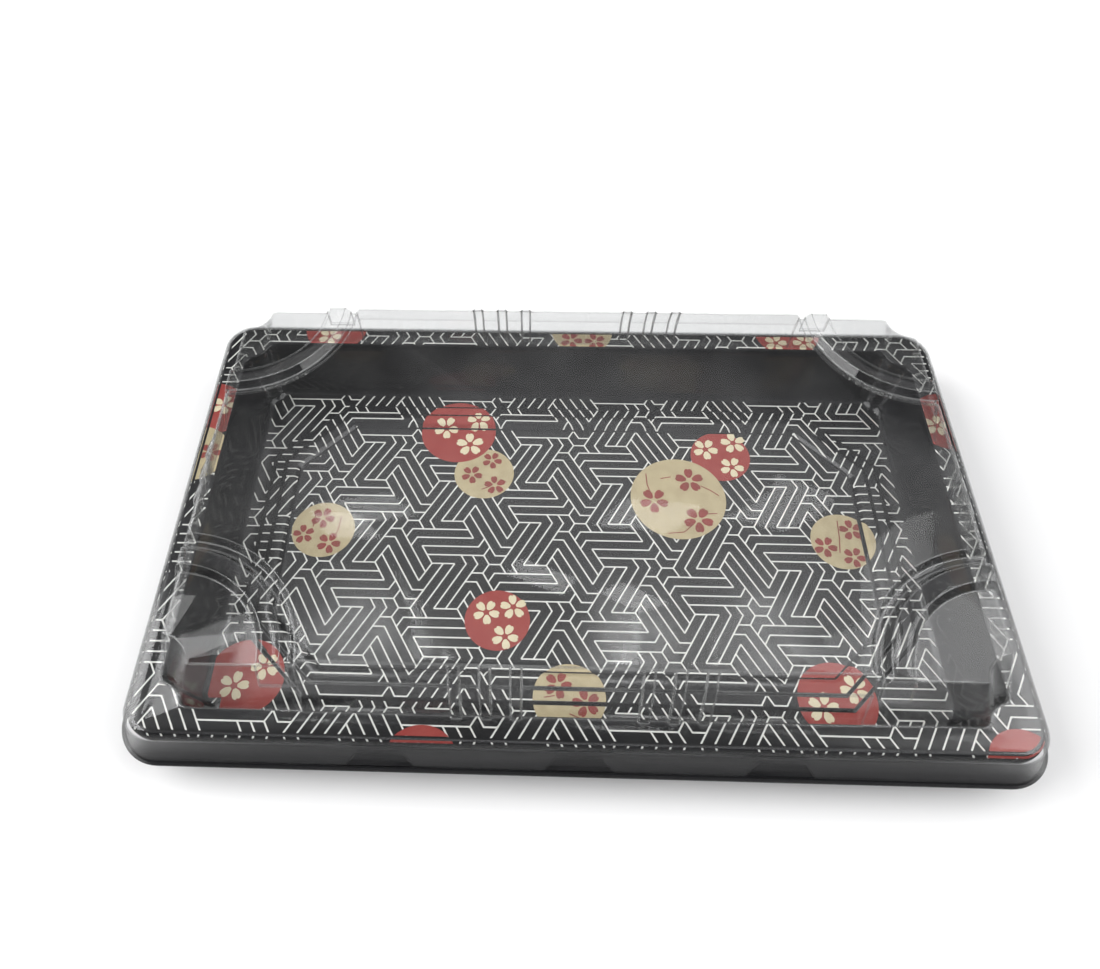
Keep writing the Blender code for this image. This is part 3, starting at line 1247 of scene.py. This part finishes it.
@dataclass
class PrintedLines:
    """The braided bars: one three-way knot of strokes, copied over the tray and trimmed."""

    lattice: Lattice = Lattice()
    width: float = 0.48 * MM
    spread: float = 22 * MM
    layers: Layers = Layers(0.030 * MM, 0.0015 * MM, 0.02 * MM)
    piece: bpy.types.Object = field(init=False)

    def draw_strokes(self) -> None:
        """Draw the knot's strokes as wires, each in its own vertex group."""
        for turn in range(3):
            for stroke in STROKES:
                corners = []
                for across, along in stroke:
                    for _ in range(turn):
                        across, along = -across - along, across
                    corners.append(self.lattice.place(across, along))
                trace(corners)
                bpy.ops.mesh.select_linked()
                mark_layer()

    def build(self, printing: Printing, finish: bpy.types.Material) -> bpy.types.Object:
        """Make the knot, repeat it and lay it on the tray.

        Args:
            printing: Lays the film.
            finish: The ink.

        Returns:
            The printed lines.
        """
        self.piece = new_piece("printed_lines")
        with editing(self.piece):
            self.draw_strokes()
        ribbon(self.piece, self.width)
        self.repeat(printing.tray)
        printing.lay(self.piece, self.layers)
        dress(self.piece, finish)
        return self.piece

    def repeat(self, tray: TrayShell) -> None:
        """Copy the knot to every place where the braid repeats."""
        home = self.lattice.place(0, 0)
        spots = self.lattice.knots(tray.half_x + self.spread, tray.half_y + self.spread)
        spots.remove(min(spots, key=lambda spot: (spot - home).length))
        with editing(self.piece):
            bpy.ops.mesh.select_all(action="SELECT")
            here = home
            for spot in spots:
                bpy.ops.mesh.duplicate_move(TRANSFORM_OT_translate={"value": spot - here})
                here = spot


class Disc(Enum):
    """Ground colour of a printed disc."""

    RED = 0
    CREAM = 1


@dataclass(frozen=True)
class Medallion:
    """A printed disc with five-petalled blossoms, sizes in millimetres.

    Args:
        middle: Its middle.
        radius: Its radius.
        ground: Its colour.
        blossoms: Middle and radius of each blossom, from the disc's middle.
        twigs: Points of each thin twig, from the disc's middle.
    """

    middle: Point
    radius: float
    ground: Disc
    blossoms: tuple[tuple[float, float, float], ...] = ()
    twigs: tuple[tuple[Point, ...], ...] = ()


MEDALLIONS = (
    Medallion((52.5, 36.0), 10.5, Disc.RED, ((-5.0, 3.0, 4.4), (5.2, 6.0, 4.4), (3.6, -4.6, 4.2))),
    Medallion((36.2, 18.0), 16.4, Disc.CREAM, ((-8.4, -1.2, 4.9), (4.4, 7.4, 4.9), (6.2, -8.6, 5.0)),
              (((-10.6, 10.0), (-10.4, 5.4), (-9.6, 2.4)), ((8.2, 5.2), (11.4, 3.4), (14.2, 1.2)),
               ((-5.6, 8.0), (-2.0, 8.8)), ((3.8, -11.0), (1.0, -13.6), (-4.4, -14.2)),
               ((9.6, -6.2), (12.8, -6.0)))),
    Medallion((-31.4, 26.9), 10.5, Disc.CREAM, ((-4.3, -0.6, 3.7), (4.0, -4.9, 3.7), (2.6, 5.6, 3.5)),
              (((-0.6, -6.8), (2.4, -5.4)), ((5.8, -2.4), (8.0, -3.6)))),
    Medallion((-41.5, 45.0), 13.5, Disc.RED, ((4.4, -5.6, 4.9), (-4.6, 1.4, 4.4), (7.2, 4.2, 4.2))),
    Medallion((-24.6, -29.3), 10.4, Disc.RED, ((-3.6, 2.6, 4.2), (5.0, 4.6, 4.2), (2.6, -5.6, 4.2))),
    Medallion((-85.0, 2.7), 10.7, Disc.CREAM, ((-0.8, 4.6, 4.0), (-6.4, -2.0, 3.6), (2.6, -5.2, 4.0)),
              (((5.6, 5.4), (5.0, 0.0), (4.2, -3.0)), ((-3.4, 7.8), (-3.6, 1.0)))),
    Medallion((89.5, 2.0), 10.5, Disc.CREAM, ((-6.0, -2.2, 3.9), (3.6, 4.4, 3.9), (2.8, -6.0, 3.7)),
              (((-0.4, 8.0), (-0.8, 1.0), (-1.6, -4.4)), ((6.6, 7.0), (6.2, 0.6)))),
    Medallion((-101.0, -50.0), 12.0, Disc.RED, ((-3.0, -3.0, 4.6), (5.4, 3.4, 4.4))),
    Medallion((-2.0, -54.5), 11.0, Disc.CREAM, ((-3.4, 3.8, 4.2), (5.0, -1.4, 4.2)),
              (((0.0, -4.6), (3.0, -5.8)), ((-7.6, 0.0), (-4.4, 0.6)))),
    Medallion((78.0, -53.0), 12.0, Disc.RED, ((-4.6, -2.6, 4.6), (5.4, 3.2, 4.4))),
    Medallion((-87.5, 76.0), 11.2, Disc.RED, ((-2.0, -4.0, 4.2),)),
    Medallion((3.0, 76.0), 11.0, Disc.CREAM, ((-4.0, -4.4, 4.0), (4.6, -4.8, 3.8))),
    Medallion((77.5, 77.0), 11.6, Disc.RED, ((-4.6, -5.4, 4.0), (5.6, -5.0, 4.0))),
    Medallion((-126.0, 37.0), 11.6, Disc.RED, ((4.2, 2.0, 4.0),)),
    Medallion((-127.0, 18.5), 11.0, Disc.CREAM, ((5.0, 0.4, 3.8),)),
    Medallion((126.0, 37.0), 12.0, Disc.RED, ((-4.4, -2.0, 4.2),)),
    Medallion((-43.0, -82.0), 10.5, Disc.RED, ()),
    Medallion((118.0, -78.0), 9.6, Disc.RED, ()),
)


@dataclass
class PrintedDiscs:
    """The red and cream discs and their blossoms.

    Petals are shaped on a blossom of radius one. Each pull names a side of Y, a limit on that
    side and how far what lies past it moves along Y: first the notch, then the belly and the foot.
    """

    edges: int = 64
    petals: int = 5
    petal_edges: int = 16
    petal_radius: float = 0.30
    petal_middle: float = 0.62
    petal_pulls: tuple[tuple[int, float, float], ...] = (
        (1, 0.90, -0.10), (1, 0.62, 0.12), (-1, -0.40, -0.10))
    twig_width: float = 0.34 * MM
    ground_layers: Layers = Layers(0.090 * MM, 0.004 * MM, 0.02 * MM)
    flower_layers: Layers = Layers(0.180 * MM, 0.0, 0.015 * MM)
    grounds: bpy.types.Object = field(init=False)
    flowers: bpy.types.Object = field(init=False)

    def build(self, printing: Printing, red: bpy.types.Material, cream: bpy.types.Material,
              leaf: bpy.types.Material, bloom: bpy.types.Material) -> list[bpy.types.Object]:
        """Print the discs, then the blossoms on them.

        Args:
            printing: Lays the films.
            red: Ink of the red discs.
            cream: Ink of the cream discs.
            leaf: Ink of the blossoms and twigs on cream.
            bloom: Ink of the blossoms on red.

        Returns:
            The discs and the blossoms.
        """
        grounds = [self.disc(medallion) for medallion in MEDALLIONS]
        for ground, medallion in zip(grounds, MEDALLIONS):
            dress(ground, red if medallion.ground is Disc.RED else cream)
        self.grounds = join(grounds, "printed_discs")
        printing.lay(self.grounds, self.ground_layers)

        marks = []
        master = self.blossom()
        for medallion in MEDALLIONS:
            ink = leaf if medallion.ground is Disc.CREAM else bloom
            for number, (x, y, radius) in enumerate(medallion.blossoms):
                turn = 37.0 * number + 11.0 * medallion.radius
                copy = self.planted(master, medallion, x, y, radius, turn)
                dress(copy, ink)
                marks.append(copy)
            for twig in medallion.twigs:
                branch = self.twig(medallion, twig)
                dress(branch, ink)
                marks.append(branch)
        remove(master)
        self.flowers = join(marks, "printed_blossoms")
        one_layer(self.flowers)
        printing.lay(self.flowers, self.flower_layers)
        return [self.grounds, self.flowers]

    def disc(self, medallion: Medallion) -> bpy.types.Object:
        """One flat disc in its own layer."""
        middle = (medallion.middle[0] * MM, medallion.middle[1] * MM, HOVER)
        clear_selection()
        bpy.ops.mesh.primitive_circle_add(vertices=self.edges, radius=medallion.radius * MM,
                                          fill_type="NGON", location=middle)
        made = bpy.context.object
        settle(made)
        one_layer(made)
        made.vertex_groups[0].name = f"layer {MEDALLIONS.index(medallion)}"
        return made

    def blossom(self) -> bpy.types.Object:
        """A blossom of radius one: five notched petals about an open middle."""
        clear_selection()
        bpy.ops.mesh.primitive_circle_add(vertices=self.petal_edges, radius=self.petal_radius,
                                          fill_type="NGON", location=(0.0, self.petal_middle, 0.0))
        made = bpy.context.object
        settle(made)
        with editing(made):
            for side, limit, move in self.petal_pulls:
                pick(lambda index, place: place.y * side > limit)
                bpy.ops.transform.translate(value=(0.0, move, 0.0))
            bpy.ops.mesh.select_all(action="SELECT")
            for _ in range(self.petals - 1):
                bpy.ops.mesh.duplicate()
                bpy.ops.transform.rotate(value=2 * math.pi / self.petals, orient_axis="Z",
                                         center_override=(0.0, 0.0, 0.0))
        return made

    def planted(self, master: bpy.types.Object, medallion: Medallion, x: float, y: float,
                radius: float, turn: float) -> bpy.types.Object:
        """Copy the blossom onto a disc.

        Args:
            master: The blossom to copy.
            medallion: The disc.
            x: Its middle from the disc's middle.
            y: The same along Y.
            radius: Its radius.
            turn: Its turn in degrees.

        Returns:
            The copy.
        """
        take(master)
        bpy.ops.object.duplicate()
        copy = bpy.context.object
        copy.location = ((medallion.middle[0] + x) * MM, (medallion.middle[1] + y) * MM, HOVER)
        copy.rotation_euler = (0.0, 0.0, math.radians(turn))
        copy.scale = (radius * MM, radius * MM, 1.0)
        settle(copy)
        return copy

    def twig(self, medallion: Medallion, points: Sequence[Point]) -> bpy.types.Object:
        """A thin twig on a disc.

        Args:
            medallion: The disc.
            points: Its points in millimetres from the disc's middle.

        Returns:
            The twig.
        """
        made = new_piece("twig")
        spots = [Vector(((medallion.middle[0] + x) * MM, (medallion.middle[1] + y) * MM, HOVER))
                 for x, y in points]
        with editing(made):
            trace(spots)
        ribbon(made, self.twig_width)
        return made


# ---------------------------------------------------------------- lid

@dataclass
class LidShell:
    """The clear formed lid: skirt with its lugs, flange, dome, panel, quarter rings and ribs.

    Sizes are in metres, heights count from the tray's flange, and reach counts outwards from
    the flange's outer edge.
    """

    half_x: float = 124.6 * MM
    half_y: float = 74.5 * MM
    level: float = 22.1 * MM
    sheet: float = 0.35 * MM
    skirt_round: float = 7.0
    skirt: tuple[Point, ...] = ((-1.2, 1.0), (0.1, 1.0), (1.0, 0.85), (1.75, 0.45), (2.35, -0.2),
                                (2.8, -1.1), (3.05, -2.4), (3.2, -4.2), (4.9, -10.1), (5.2, -10.6),
                                (5.7, -10.9), (6.2, -11.0), (6.2, -11.6))
    slant_top: Point = (3.2, -4.2)
    slant_size: Point = (1.7, 5.9)
    dome_inset: float = 5.6 * MM
    lean_x: float = 5.5 * MM
    lean_y: float = 4.2 * MM
    corner_top: float = 20.6 * MM
    scoop: Point = (7.3, 0.9)
    scoop_fillet: Point = (3.3, -2.1)
    least_fillet: float = 1.2 * MM
    panel_wall: tuple[Point, ...] = ((-0.4, -0.5), (2.05, 15.3), (2.5, 15.6), (4.45, 22.4),
                                     (4.7, 22.85), (5.1, 23.1))
    edge_round: float = 0.7 * MM
    ring_base: Point = (27.2 * MM, 35.6 * MM)
    ring_crest: Point = (29.2 * MM, 33.4 * MM)
    notch: float = 37.4 * MM
    notch_slope: float = 0.52
    ring_foot: float = 12.5 * MM
    ring_proud: float = 0.9 * MM
    ring_drop: float = 0.2 * MM
    ring_edge: tuple[Point, ...] = ((0.9, 0.0), (0.25, 0.35), (0.0, 1.0))
    steps: int = 120
    rib_width: float = 3.2 * MM
    rib_proud: float = 0.8 * MM
    rib_root: float = 4.0 * MM
    rib_round: float = 0.45 * MM
    rib_pitch: float = 8.2 * MM
    rib_group: float = 25.6 * MM
    lug_pitch: float = 55.0 * MM
    lug_size: Point = (17.6 * MM, 2.0 * MM)
    lug_low: float = -9.9 * MM
    lug_high: float = -5.3 * MM
    lug_bite: float = 0.1 * MM
    bend_width: float = 0.22 * MM
    bend_angle: float = 22
    smooth_angle: float = 21

    @property
    def panel_top(self) -> float:
        """Height of the raised panel above the flange."""
        return self.panel_wall[-1][1] * MM

    @property
    def foot(self) -> Point:
        """Half sizes of the dome's foot."""
        return self.half_x - self.dome_inset, self.half_y - self.dome_inset

    def skirt_block(self) -> bpy.types.Object:
        """Solid under the flange and the skirt."""
        rows = [Outline(self.half_x + reach * MM, self.half_y + reach * MM, self.level + height * MM,
                        Corner.ROUND, (self.skirt_round + reach) * MM)
                for reach, height in self.skirt]
        return skin("lid_shell", rows, close_first=True)

    def corner_row(self, height: float, outward: float = 0.0) -> Outline:
        """An outline of the dome's plain walls.

        Args:
            height: Height above the flange.
            outward: Extra reach.

        Returns:
            The outline, its corners scooped.
        """
        share = height / self.corner_top
        half_x, half_y = self.foot
        scoop, fillet = ((first + gain * share) * MM
                         for first, gain in (self.scoop, self.scoop_fillet))
        return Outline(half_x - self.lean_x * share + outward, half_y - self.lean_y * share + outward,
                       self.level + height, Corner.SCOOPED, scoop, max(fillet, self.least_fillet))

    def dome_block(self) -> bpy.types.Object:
        """The dome up to the height of its corners, top edge rounded."""
        top = self.corner_top
        rows = [self.corner_row(-0.5 * MM), self.corner_row(top - self.edge_round),
                self.corner_row(top - 0.3 * self.edge_round, -0.2 * self.edge_round),
                self.corner_row(top, -0.8 * self.edge_round)]
        return skin("dome", rows, close_first=True)

    def dome_corners(self) -> list[Vector]:
        """The sharp corners of the dome's top, where the quarter rings are centred."""
        half_x, half_y = self.foot
        x, y = half_x - self.lean_x, half_y - self.lean_y
        return [Vector((x, y, 0.0)), Vector((-x, y, 0.0)), Vector((-x, -y, 0.0)), Vector((x, -y, 0.0))]

    def panel_block(self) -> bpy.types.Object:
        """The raised panel with its corners notched."""
        half_x, half_y = self.foot
        rows = []
        for inward, height in self.panel_wall:
            rows.append(Outline(half_x - inward * MM * self.lean_x / self.lean_y, half_y - inward * MM,
                                self.level + height * MM, Corner.ROUND, 2.0 * MM))
        panel = skin("panel", rows, close_first=True)
        low, high = self.level - 2.0 * MM, self.level + self.panel_top + 2.0 * MM
        ridge = self.level + self.corner_top
        section = ((0.0, high), (self.notch + self.notch_slope * (high - ridge), high),
                   (self.notch, ridge), (self.notch, low), (0.0, low))
        for corner in self.dome_corners():
            combine(panel, "DIFFERENCE", turned("notch", section, corner, self.steps))
        return panel

    def ring_block(self) -> bpy.types.Object:
        """The four quarter-ring ribs, their ends turned down over the walls."""
        crest = self.panel_top - self.ring_drop
        rows = [self.corner_row(self.ring_foot, self.ring_proud)]
        rows += [self.corner_row(crest - down * MM, self.ring_proud - inward * MM)
                 for down, inward in self.ring_edge]
        clip = skin("ring clip", rows, close_first=True)
        low = self.level + 5.0 * MM
        shoulder = self.level + self.corner_top
        top = self.level + crest + 0.5 * MM
        (inner, outer), (crest_inner, crest_outer) = self.ring_base, self.ring_crest
        section = ((crest_outer, top), (outer, shoulder), (outer, low),
                   (inner, low), (inner, shoulder), (crest_inner, top))
        rings = None
        for corner in self.dome_corners():
            ring = turned("ring", section, corner, self.steps)
            if rings is None:
                rings = ring
            else:
                combine(rings, "UNION", ring)
        combine(clip, "INTERSECT", rings)
        return clip

    def wall_rib(self, along: float, turn: int) -> bpy.types.Object:
        """One upright rib on a wall.

        Args:
            along: Its middle from the middle of its wall.
            turn: Quarter turns from the front wall.

        Returns:
            The rib.
        """
        half_x, half_y = self.foot
        long_wall = turn % 2 == 0
        half = half_y if long_wall else half_x
        lean = 1.0 if long_wall else self.lean_x / self.lean_y
        profile = [(half - inward * MM * lean + self.rib_proud, self.level + height * MM)
                   for inward, height in self.panel_wall[:2]]
        top_in, top = self.panel_wall[-1]
        reach = half - top_in * MM * lean + self.rib_proud
        profile.append((reach + 0.5 * MM, self.level + top * MM - 1.2 * MM))
        profile.append((reach, self.level + top * MM - 0.2 * MM))
        rib = new_piece("wall rib")
        places = [Vector((-self.rib_width / 2, -out, height)) for out, height in profile]
        places += [spot + Vector((0.0, self.rib_root, 0.0)) for spot in reversed(places)]
        with editing(rib):
            trace(places)
            bpy.ops.mesh.select_all(action="SELECT")
            bpy.ops.mesh.edge_face_add()
            bpy.ops.mesh.extrude_region_move(
                TRANSFORM_OT_translate={"value": (self.rib_width, 0.0, 0.0)})
            face_outward()
            pick_faces(lambda spot, normal: abs(normal.x) > 0.9)
            bpy.ops.mesh.select_mode(type="EDGE")
            bpy.ops.mesh.bevel(offset=self.rib_round, segments=3, affect="EDGES")
        self.put_beside(rib, along, turn)
        return rib

    def lug(self, along: float, turn: int) -> bpy.types.Object:
        """A wedge that presses one trapezoid lug into the skirt.

        Args:
            along: Its middle from the middle of its side.
            turn: Quarter turns from the front side.

        Returns:
            The wedge.
        """
        half = self.half_y if turn % 2 == 0 else self.half_x
        clear_selection()
        bpy.ops.mesh.primitive_cube_add(size=1.0, location=(0.0, 0.0, 0.0))
        wedge = bpy.context.object
        low, high = self.lug_low, self.lug_high
        with editing(wedge):
            bpy.ops.transform.resize(value=(*self.lug_size, high - low))
            pick(lambda index, place: place.z > 0)
            bpy.ops.transform.resize(value=(0.66, 1.0, 1.0))
            pick(lambda index, place: place.y < 0)
            bpy.ops.transform.resize(value=(1.10, 1.0, 1.30))
            for side, reach in ((-1, self.skirt_reach(low)), (1, self.skirt_reach(high))):
                pick(lambda index, place: place.z * side > 0)
                bpy.ops.transform.translate(value=(0.0, self.lug_bite - half - reach, 0.0))
            bpy.ops.mesh.select_all(action="SELECT")
            bpy.ops.transform.translate(value=(0.0, 0.0, self.level + (low + high) / 2))
        self.put_beside(wedge, along, turn)
        return wedge

    @staticmethod
    def put_beside(piece: bpy.types.Object, along: float, turn: int) -> None:
        """Move a piece made for the middle of the front side to its own place.

        Args:
            piece: The piece.
            along: Its middle from the middle of its side.
            turn: Quarter turns from the front side.
        """
        quarter = Matrix.Rotation(math.pi / 2 * turn, 4, "Z")
        piece.matrix_world = quarter @ Matrix.Translation((along, 0.0, 0.0))
        settle(piece)

    def skirt_reach(self, height: float) -> float:
        """Reach of the skirt's straight part at a height."""
        share = (self.slant_top[1] * MM - height) / (self.slant_size[1] * MM)
        return (self.slant_top[0] + self.slant_size[0] * share) * MM

    def build(self, finish: bpy.types.Material, bend: bpy.types.Material) -> bpy.types.Object:
        """Join all forms, round the creases and hollow them into a thin sheet.

        Args:
            finish: The clear material.
            bend: The material along the creases, with painted shade from its darker tint and painted
                highlight from its stronger whitish haze.

        Returns:
            The lid.
        """
        lid = self.skirt_block()
        for turn in range(4):
            for step in (-1, 0, 1) if turn % 2 == 0 else (-0.5, 0.5):
                combine(lid, "DIFFERENCE", self.lug(step * self.lug_pitch, turn))
        for block in (self.dome_block, self.panel_block, self.ring_block):
            combine(lid, "UNION", block())
        for turn in range(4):
            groups = (-self.rib_group, self.rib_group) if turn % 2 == 0 else (0.0,)
            for group in groups:
                for step in (-1, 0, 1):
                    combine(lid, "UNION", self.wall_rib(group + step * self.rib_pitch, turn))
        low = self.level + self.skirt[-1][1] * MM
        with editing(lid):
            bpy.ops.mesh.select_all(action="SELECT")
            bpy.ops.mesh.remove_doubles(threshold=0.02 * MM)
            bpy.ops.mesh.dissolve_limited(angle_limit=math.radians(0.6))
            pick_faces(lambda spot, normal: normal.z < -0.99 and spot.z < low + 0.1 * MM)
            bpy.ops.mesh.delete(type="FACE")
        dress(lid, finish)
        # The creases' second material carries painted shade and painted highlight.
        lid.data.materials.append(bend)
        apply_modifier(lid, "BEVEL", width=self.bend_width, segments=2, limit_method="ANGLE",
                       angle_limit=math.radians(self.bend_angle), use_clamp_overlap=False,
                       material=1)
        weld(lid, 0.01 * MM)
        apply_modifier(lid, "SOLIDIFY", thickness=self.sheet, offset=-1.0)
        top = self.level + self.panel_top
        with editing(lid):
            pick(lambda index, place: place.z > top)
            bpy.ops.transform.resize(value=(1.0, 1.0, 0.0), center_override=(0.0, 0.0, top))
        smooth(lid, self.smooth_angle)
        return lid


# ---------------------------------------------------------------- studio

@dataclass
class Studio:
    """Plain pale floor, soft light and the camera."""

    camera_place: tuple[float, float, float] = (-0.01257, -0.17033, 0.28737)
    yaw: float = -2.92
    pitch: float = -50.84
    roll: float = -1.39
    focal: float = 981.47
    sensor: float = 36.0
    middle: Point = (507.03, 395.27)
    frame: Point = (1100.0, 969.0)
    sky_strength: float = 1.1
    dim_side: tuple[float, float, float, float] = (-0.37, -0.20, 0.35, 1.0)
    dim_above: tuple[float, float, float, float] = (0.30, 0.55, 1.0, 0.0)
    sky: tuple[tuple[float, tuple[float, float, float]], ...] = (
        (0.0, (0.70, 0.70, 0.70)), (0.12, (0.45, 0.45, 0.45)), (0.25, (0.10, 0.10, 0.10)),
        (0.64, (0.13, 0.13, 0.14)), (0.74, (1.0, 1.0, 1.03)), (0.90, (1.1, 1.1, 1.1)),
        (0.95, (0.2, 0.2, 0.2)), (1.0, (0.10, 0.10, 0.10)))
    lamps: tuple[tuple[tuple[float, float, float], float, float], ...] = (
        ((-1.5, 0.0, 1.05), 1.6, 46.0),
        ((1.5, 0.0, 1.1), 1.6, 27.0),
        ((-0.35, 0.62, 1.42), 0.15, 0.45), ((0.17, 0.61, 1.42), 0.15, 0.5),
        ((0.41, 0.64, 1.42), 0.14, 0.4))

    def build(self) -> None:
        """Set up everything around the tray."""
        self.aim_camera()
        self.lay_floor()
        self.light()
        bpy.context.scene.view_settings.view_transform = "Standard"
        bpy.context.scene.cycles.transparent_max_bounces = 32

    def aim_camera(self) -> None:
        """Create the camera at its place, angle and lens."""
        yaw, pitch, roll = (math.radians(value) for value in (self.yaw, self.pitch, self.roll))
        level = math.cos(pitch)
        ahead = Vector((math.sin(yaw) * level, math.cos(yaw) * level, math.sin(pitch)))
        right = Vector((math.cos(yaw), -math.sin(yaw), 0.0))
        up = right.cross(ahead)
        leaned_right = right * math.cos(roll) + up * math.sin(roll)
        leaned_up = up * math.cos(roll) - right * math.sin(roll)
        turn = Matrix((leaned_right, leaned_up, -ahead)).transposed()
        bpy.ops.object.camera_add(location=self.camera_place, rotation=turn.to_euler())
        camera = bpy.context.object
        width, height = self.frame
        camera.data.sensor_fit = "HORIZONTAL"
        camera.data.sensor_width = self.sensor
        camera.data.lens = self.focal * self.sensor / width
        camera.data.shift_x = (width / 2 - self.middle[0]) / width
        camera.data.shift_y = (self.middle[1] - height / 2) / width
        camera.data.clip_start = 0.01
        bpy.context.scene.camera = camera

    def lay_floor(self) -> None:
        """Lay the pale floor."""
        clear_selection()
        bpy.ops.mesh.primitive_plane_add(size=6.0)
        floor = bpy.context.object
        floor.name = "studio_floor"
        graph = Graph("studio floor")
        pale = graph.surface({"Base Color": (0.84, 0.84, 0.84, 1.0), "Roughness": 0.8})
        dress(floor, graph.output(pale))

    def light(self) -> None:
        """Sky with a bright band high up, dimmer on the left of the tray, and soft area lights."""
        world = bpy.data.worlds.new("studio")
        world.use_nodes = True
        tree = world.node_tree
        look = tree.nodes.new("ShaderNodeTexCoord")
        split = tree.nodes.new("ShaderNodeSeparateXYZ")
        ramp = tree.nodes.new("ShaderNodeValToRGB")
        stops = ramp.color_ramp.elements
        while len(stops) < len(self.sky):
            stops.new(0.5)
        for stop, (place, colour) in zip(stops, self.sky):
            stop.position = place
            stop.color = (*colour, 1.0)
        tree.links.new(look.outputs["Generated"], split.inputs[0])
        tree.links.new(split.outputs["Z"], ramp.inputs[0])
        tree.links.new(ramp.outputs[0], tree.nodes["Background"].inputs["Color"])
        brighter = tree.nodes.new("ShaderNodeMath")
        brighter.operation = "MAXIMUM"
        for slot, axis, (low, high, first, last) in ((0, "X", self.dim_side), (1, "Z", self.dim_above)):
            span = tree.nodes.new("ShaderNodeMapRange")
            span.inputs["From Min"].default_value = low
            span.inputs["From Max"].default_value = high
            span.inputs["To Min"].default_value = first * self.sky_strength
            span.inputs["To Max"].default_value = last * self.sky_strength
            tree.links.new(split.outputs[axis], span.inputs["Value"])
            tree.links.new(span.outputs["Result"], brighter.inputs[slot])
        tree.links.new(brighter.outputs[0], tree.nodes["Background"].inputs["Strength"])
        bpy.context.scene.world = world
        for place, size, power in self.lamps:
            self.area_light(place, size, power)

    def area_light(self, place: tuple[float, float, float], size: float, power: float) -> None:
        """Add a square soft light that looks at the tray.

        Args:
            place: Where it hangs.
            size: Side of the square.
            power: Its power in watts.
        """
        aim = (-Vector(place)).to_track_quat("-Z", "Y").to_euler()
        bpy.ops.object.light_add(type="AREA", location=place, rotation=aim)
        bpy.context.object.data.size = size
        bpy.context.object.data.energy = power


def main() -> None:
    """Build every piece and hand it to the frame."""
    logging.basicConfig(level=logging.INFO, format="%(message)s")
    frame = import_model()
    Studio().build()
    LOG.info("studio ready")

    tray = TrayShell()
    shell = tray.build(BlackSheet().make())
    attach(shell, "root")
    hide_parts("tray")
    LOG.info("tray shell: %d faces", len(shell.data.polygons))

    printing = Printing(tray)
    lines = PrintedLines().build(
        printing, Ink("line ink", tone(240, 240, 235), tone(222, 222, 216)).make())
    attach(lines, "root")
    LOG.info("printed lines: %d faces", len(lines.data.polygons))
    films = PrintedDiscs().build(
        printing,
        Ink("red ink", tone(150, 46, 40), tone(164, 70, 62)).make(),
        Ink("cream ink", tone(196, 181, 144), tone(178, 163, 128)).make(),
        Ink("brown red ink", tone(150, 52, 46), tone(128, 62, 50)).make(),
        Ink("pale ink", tone(232, 222, 192), tone(222, 208, 172)).make())
    for film in films:
        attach(film, "root")
        LOG.info("%s: %d faces", film.name, len(film.data.polygons))

    # Clear sheet along the creases: its darker tint is painted shade and its stronger whitish haze is
    # painted highlight.
    bend = ClearSheet("clear sheet at a bend", tint=(0.79, 0.79, 0.79, 1.0), mirror=0.75,
                      roughness=0.10, haze=0.14)
    lid = LidShell().build(ClearSheet().make(), bend.make())
    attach(lid, "root")
    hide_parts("lid")
    LOG.info("lid shell: %d faces", len(lid.data.polygons))


if __name__ == "__main__":
    main()
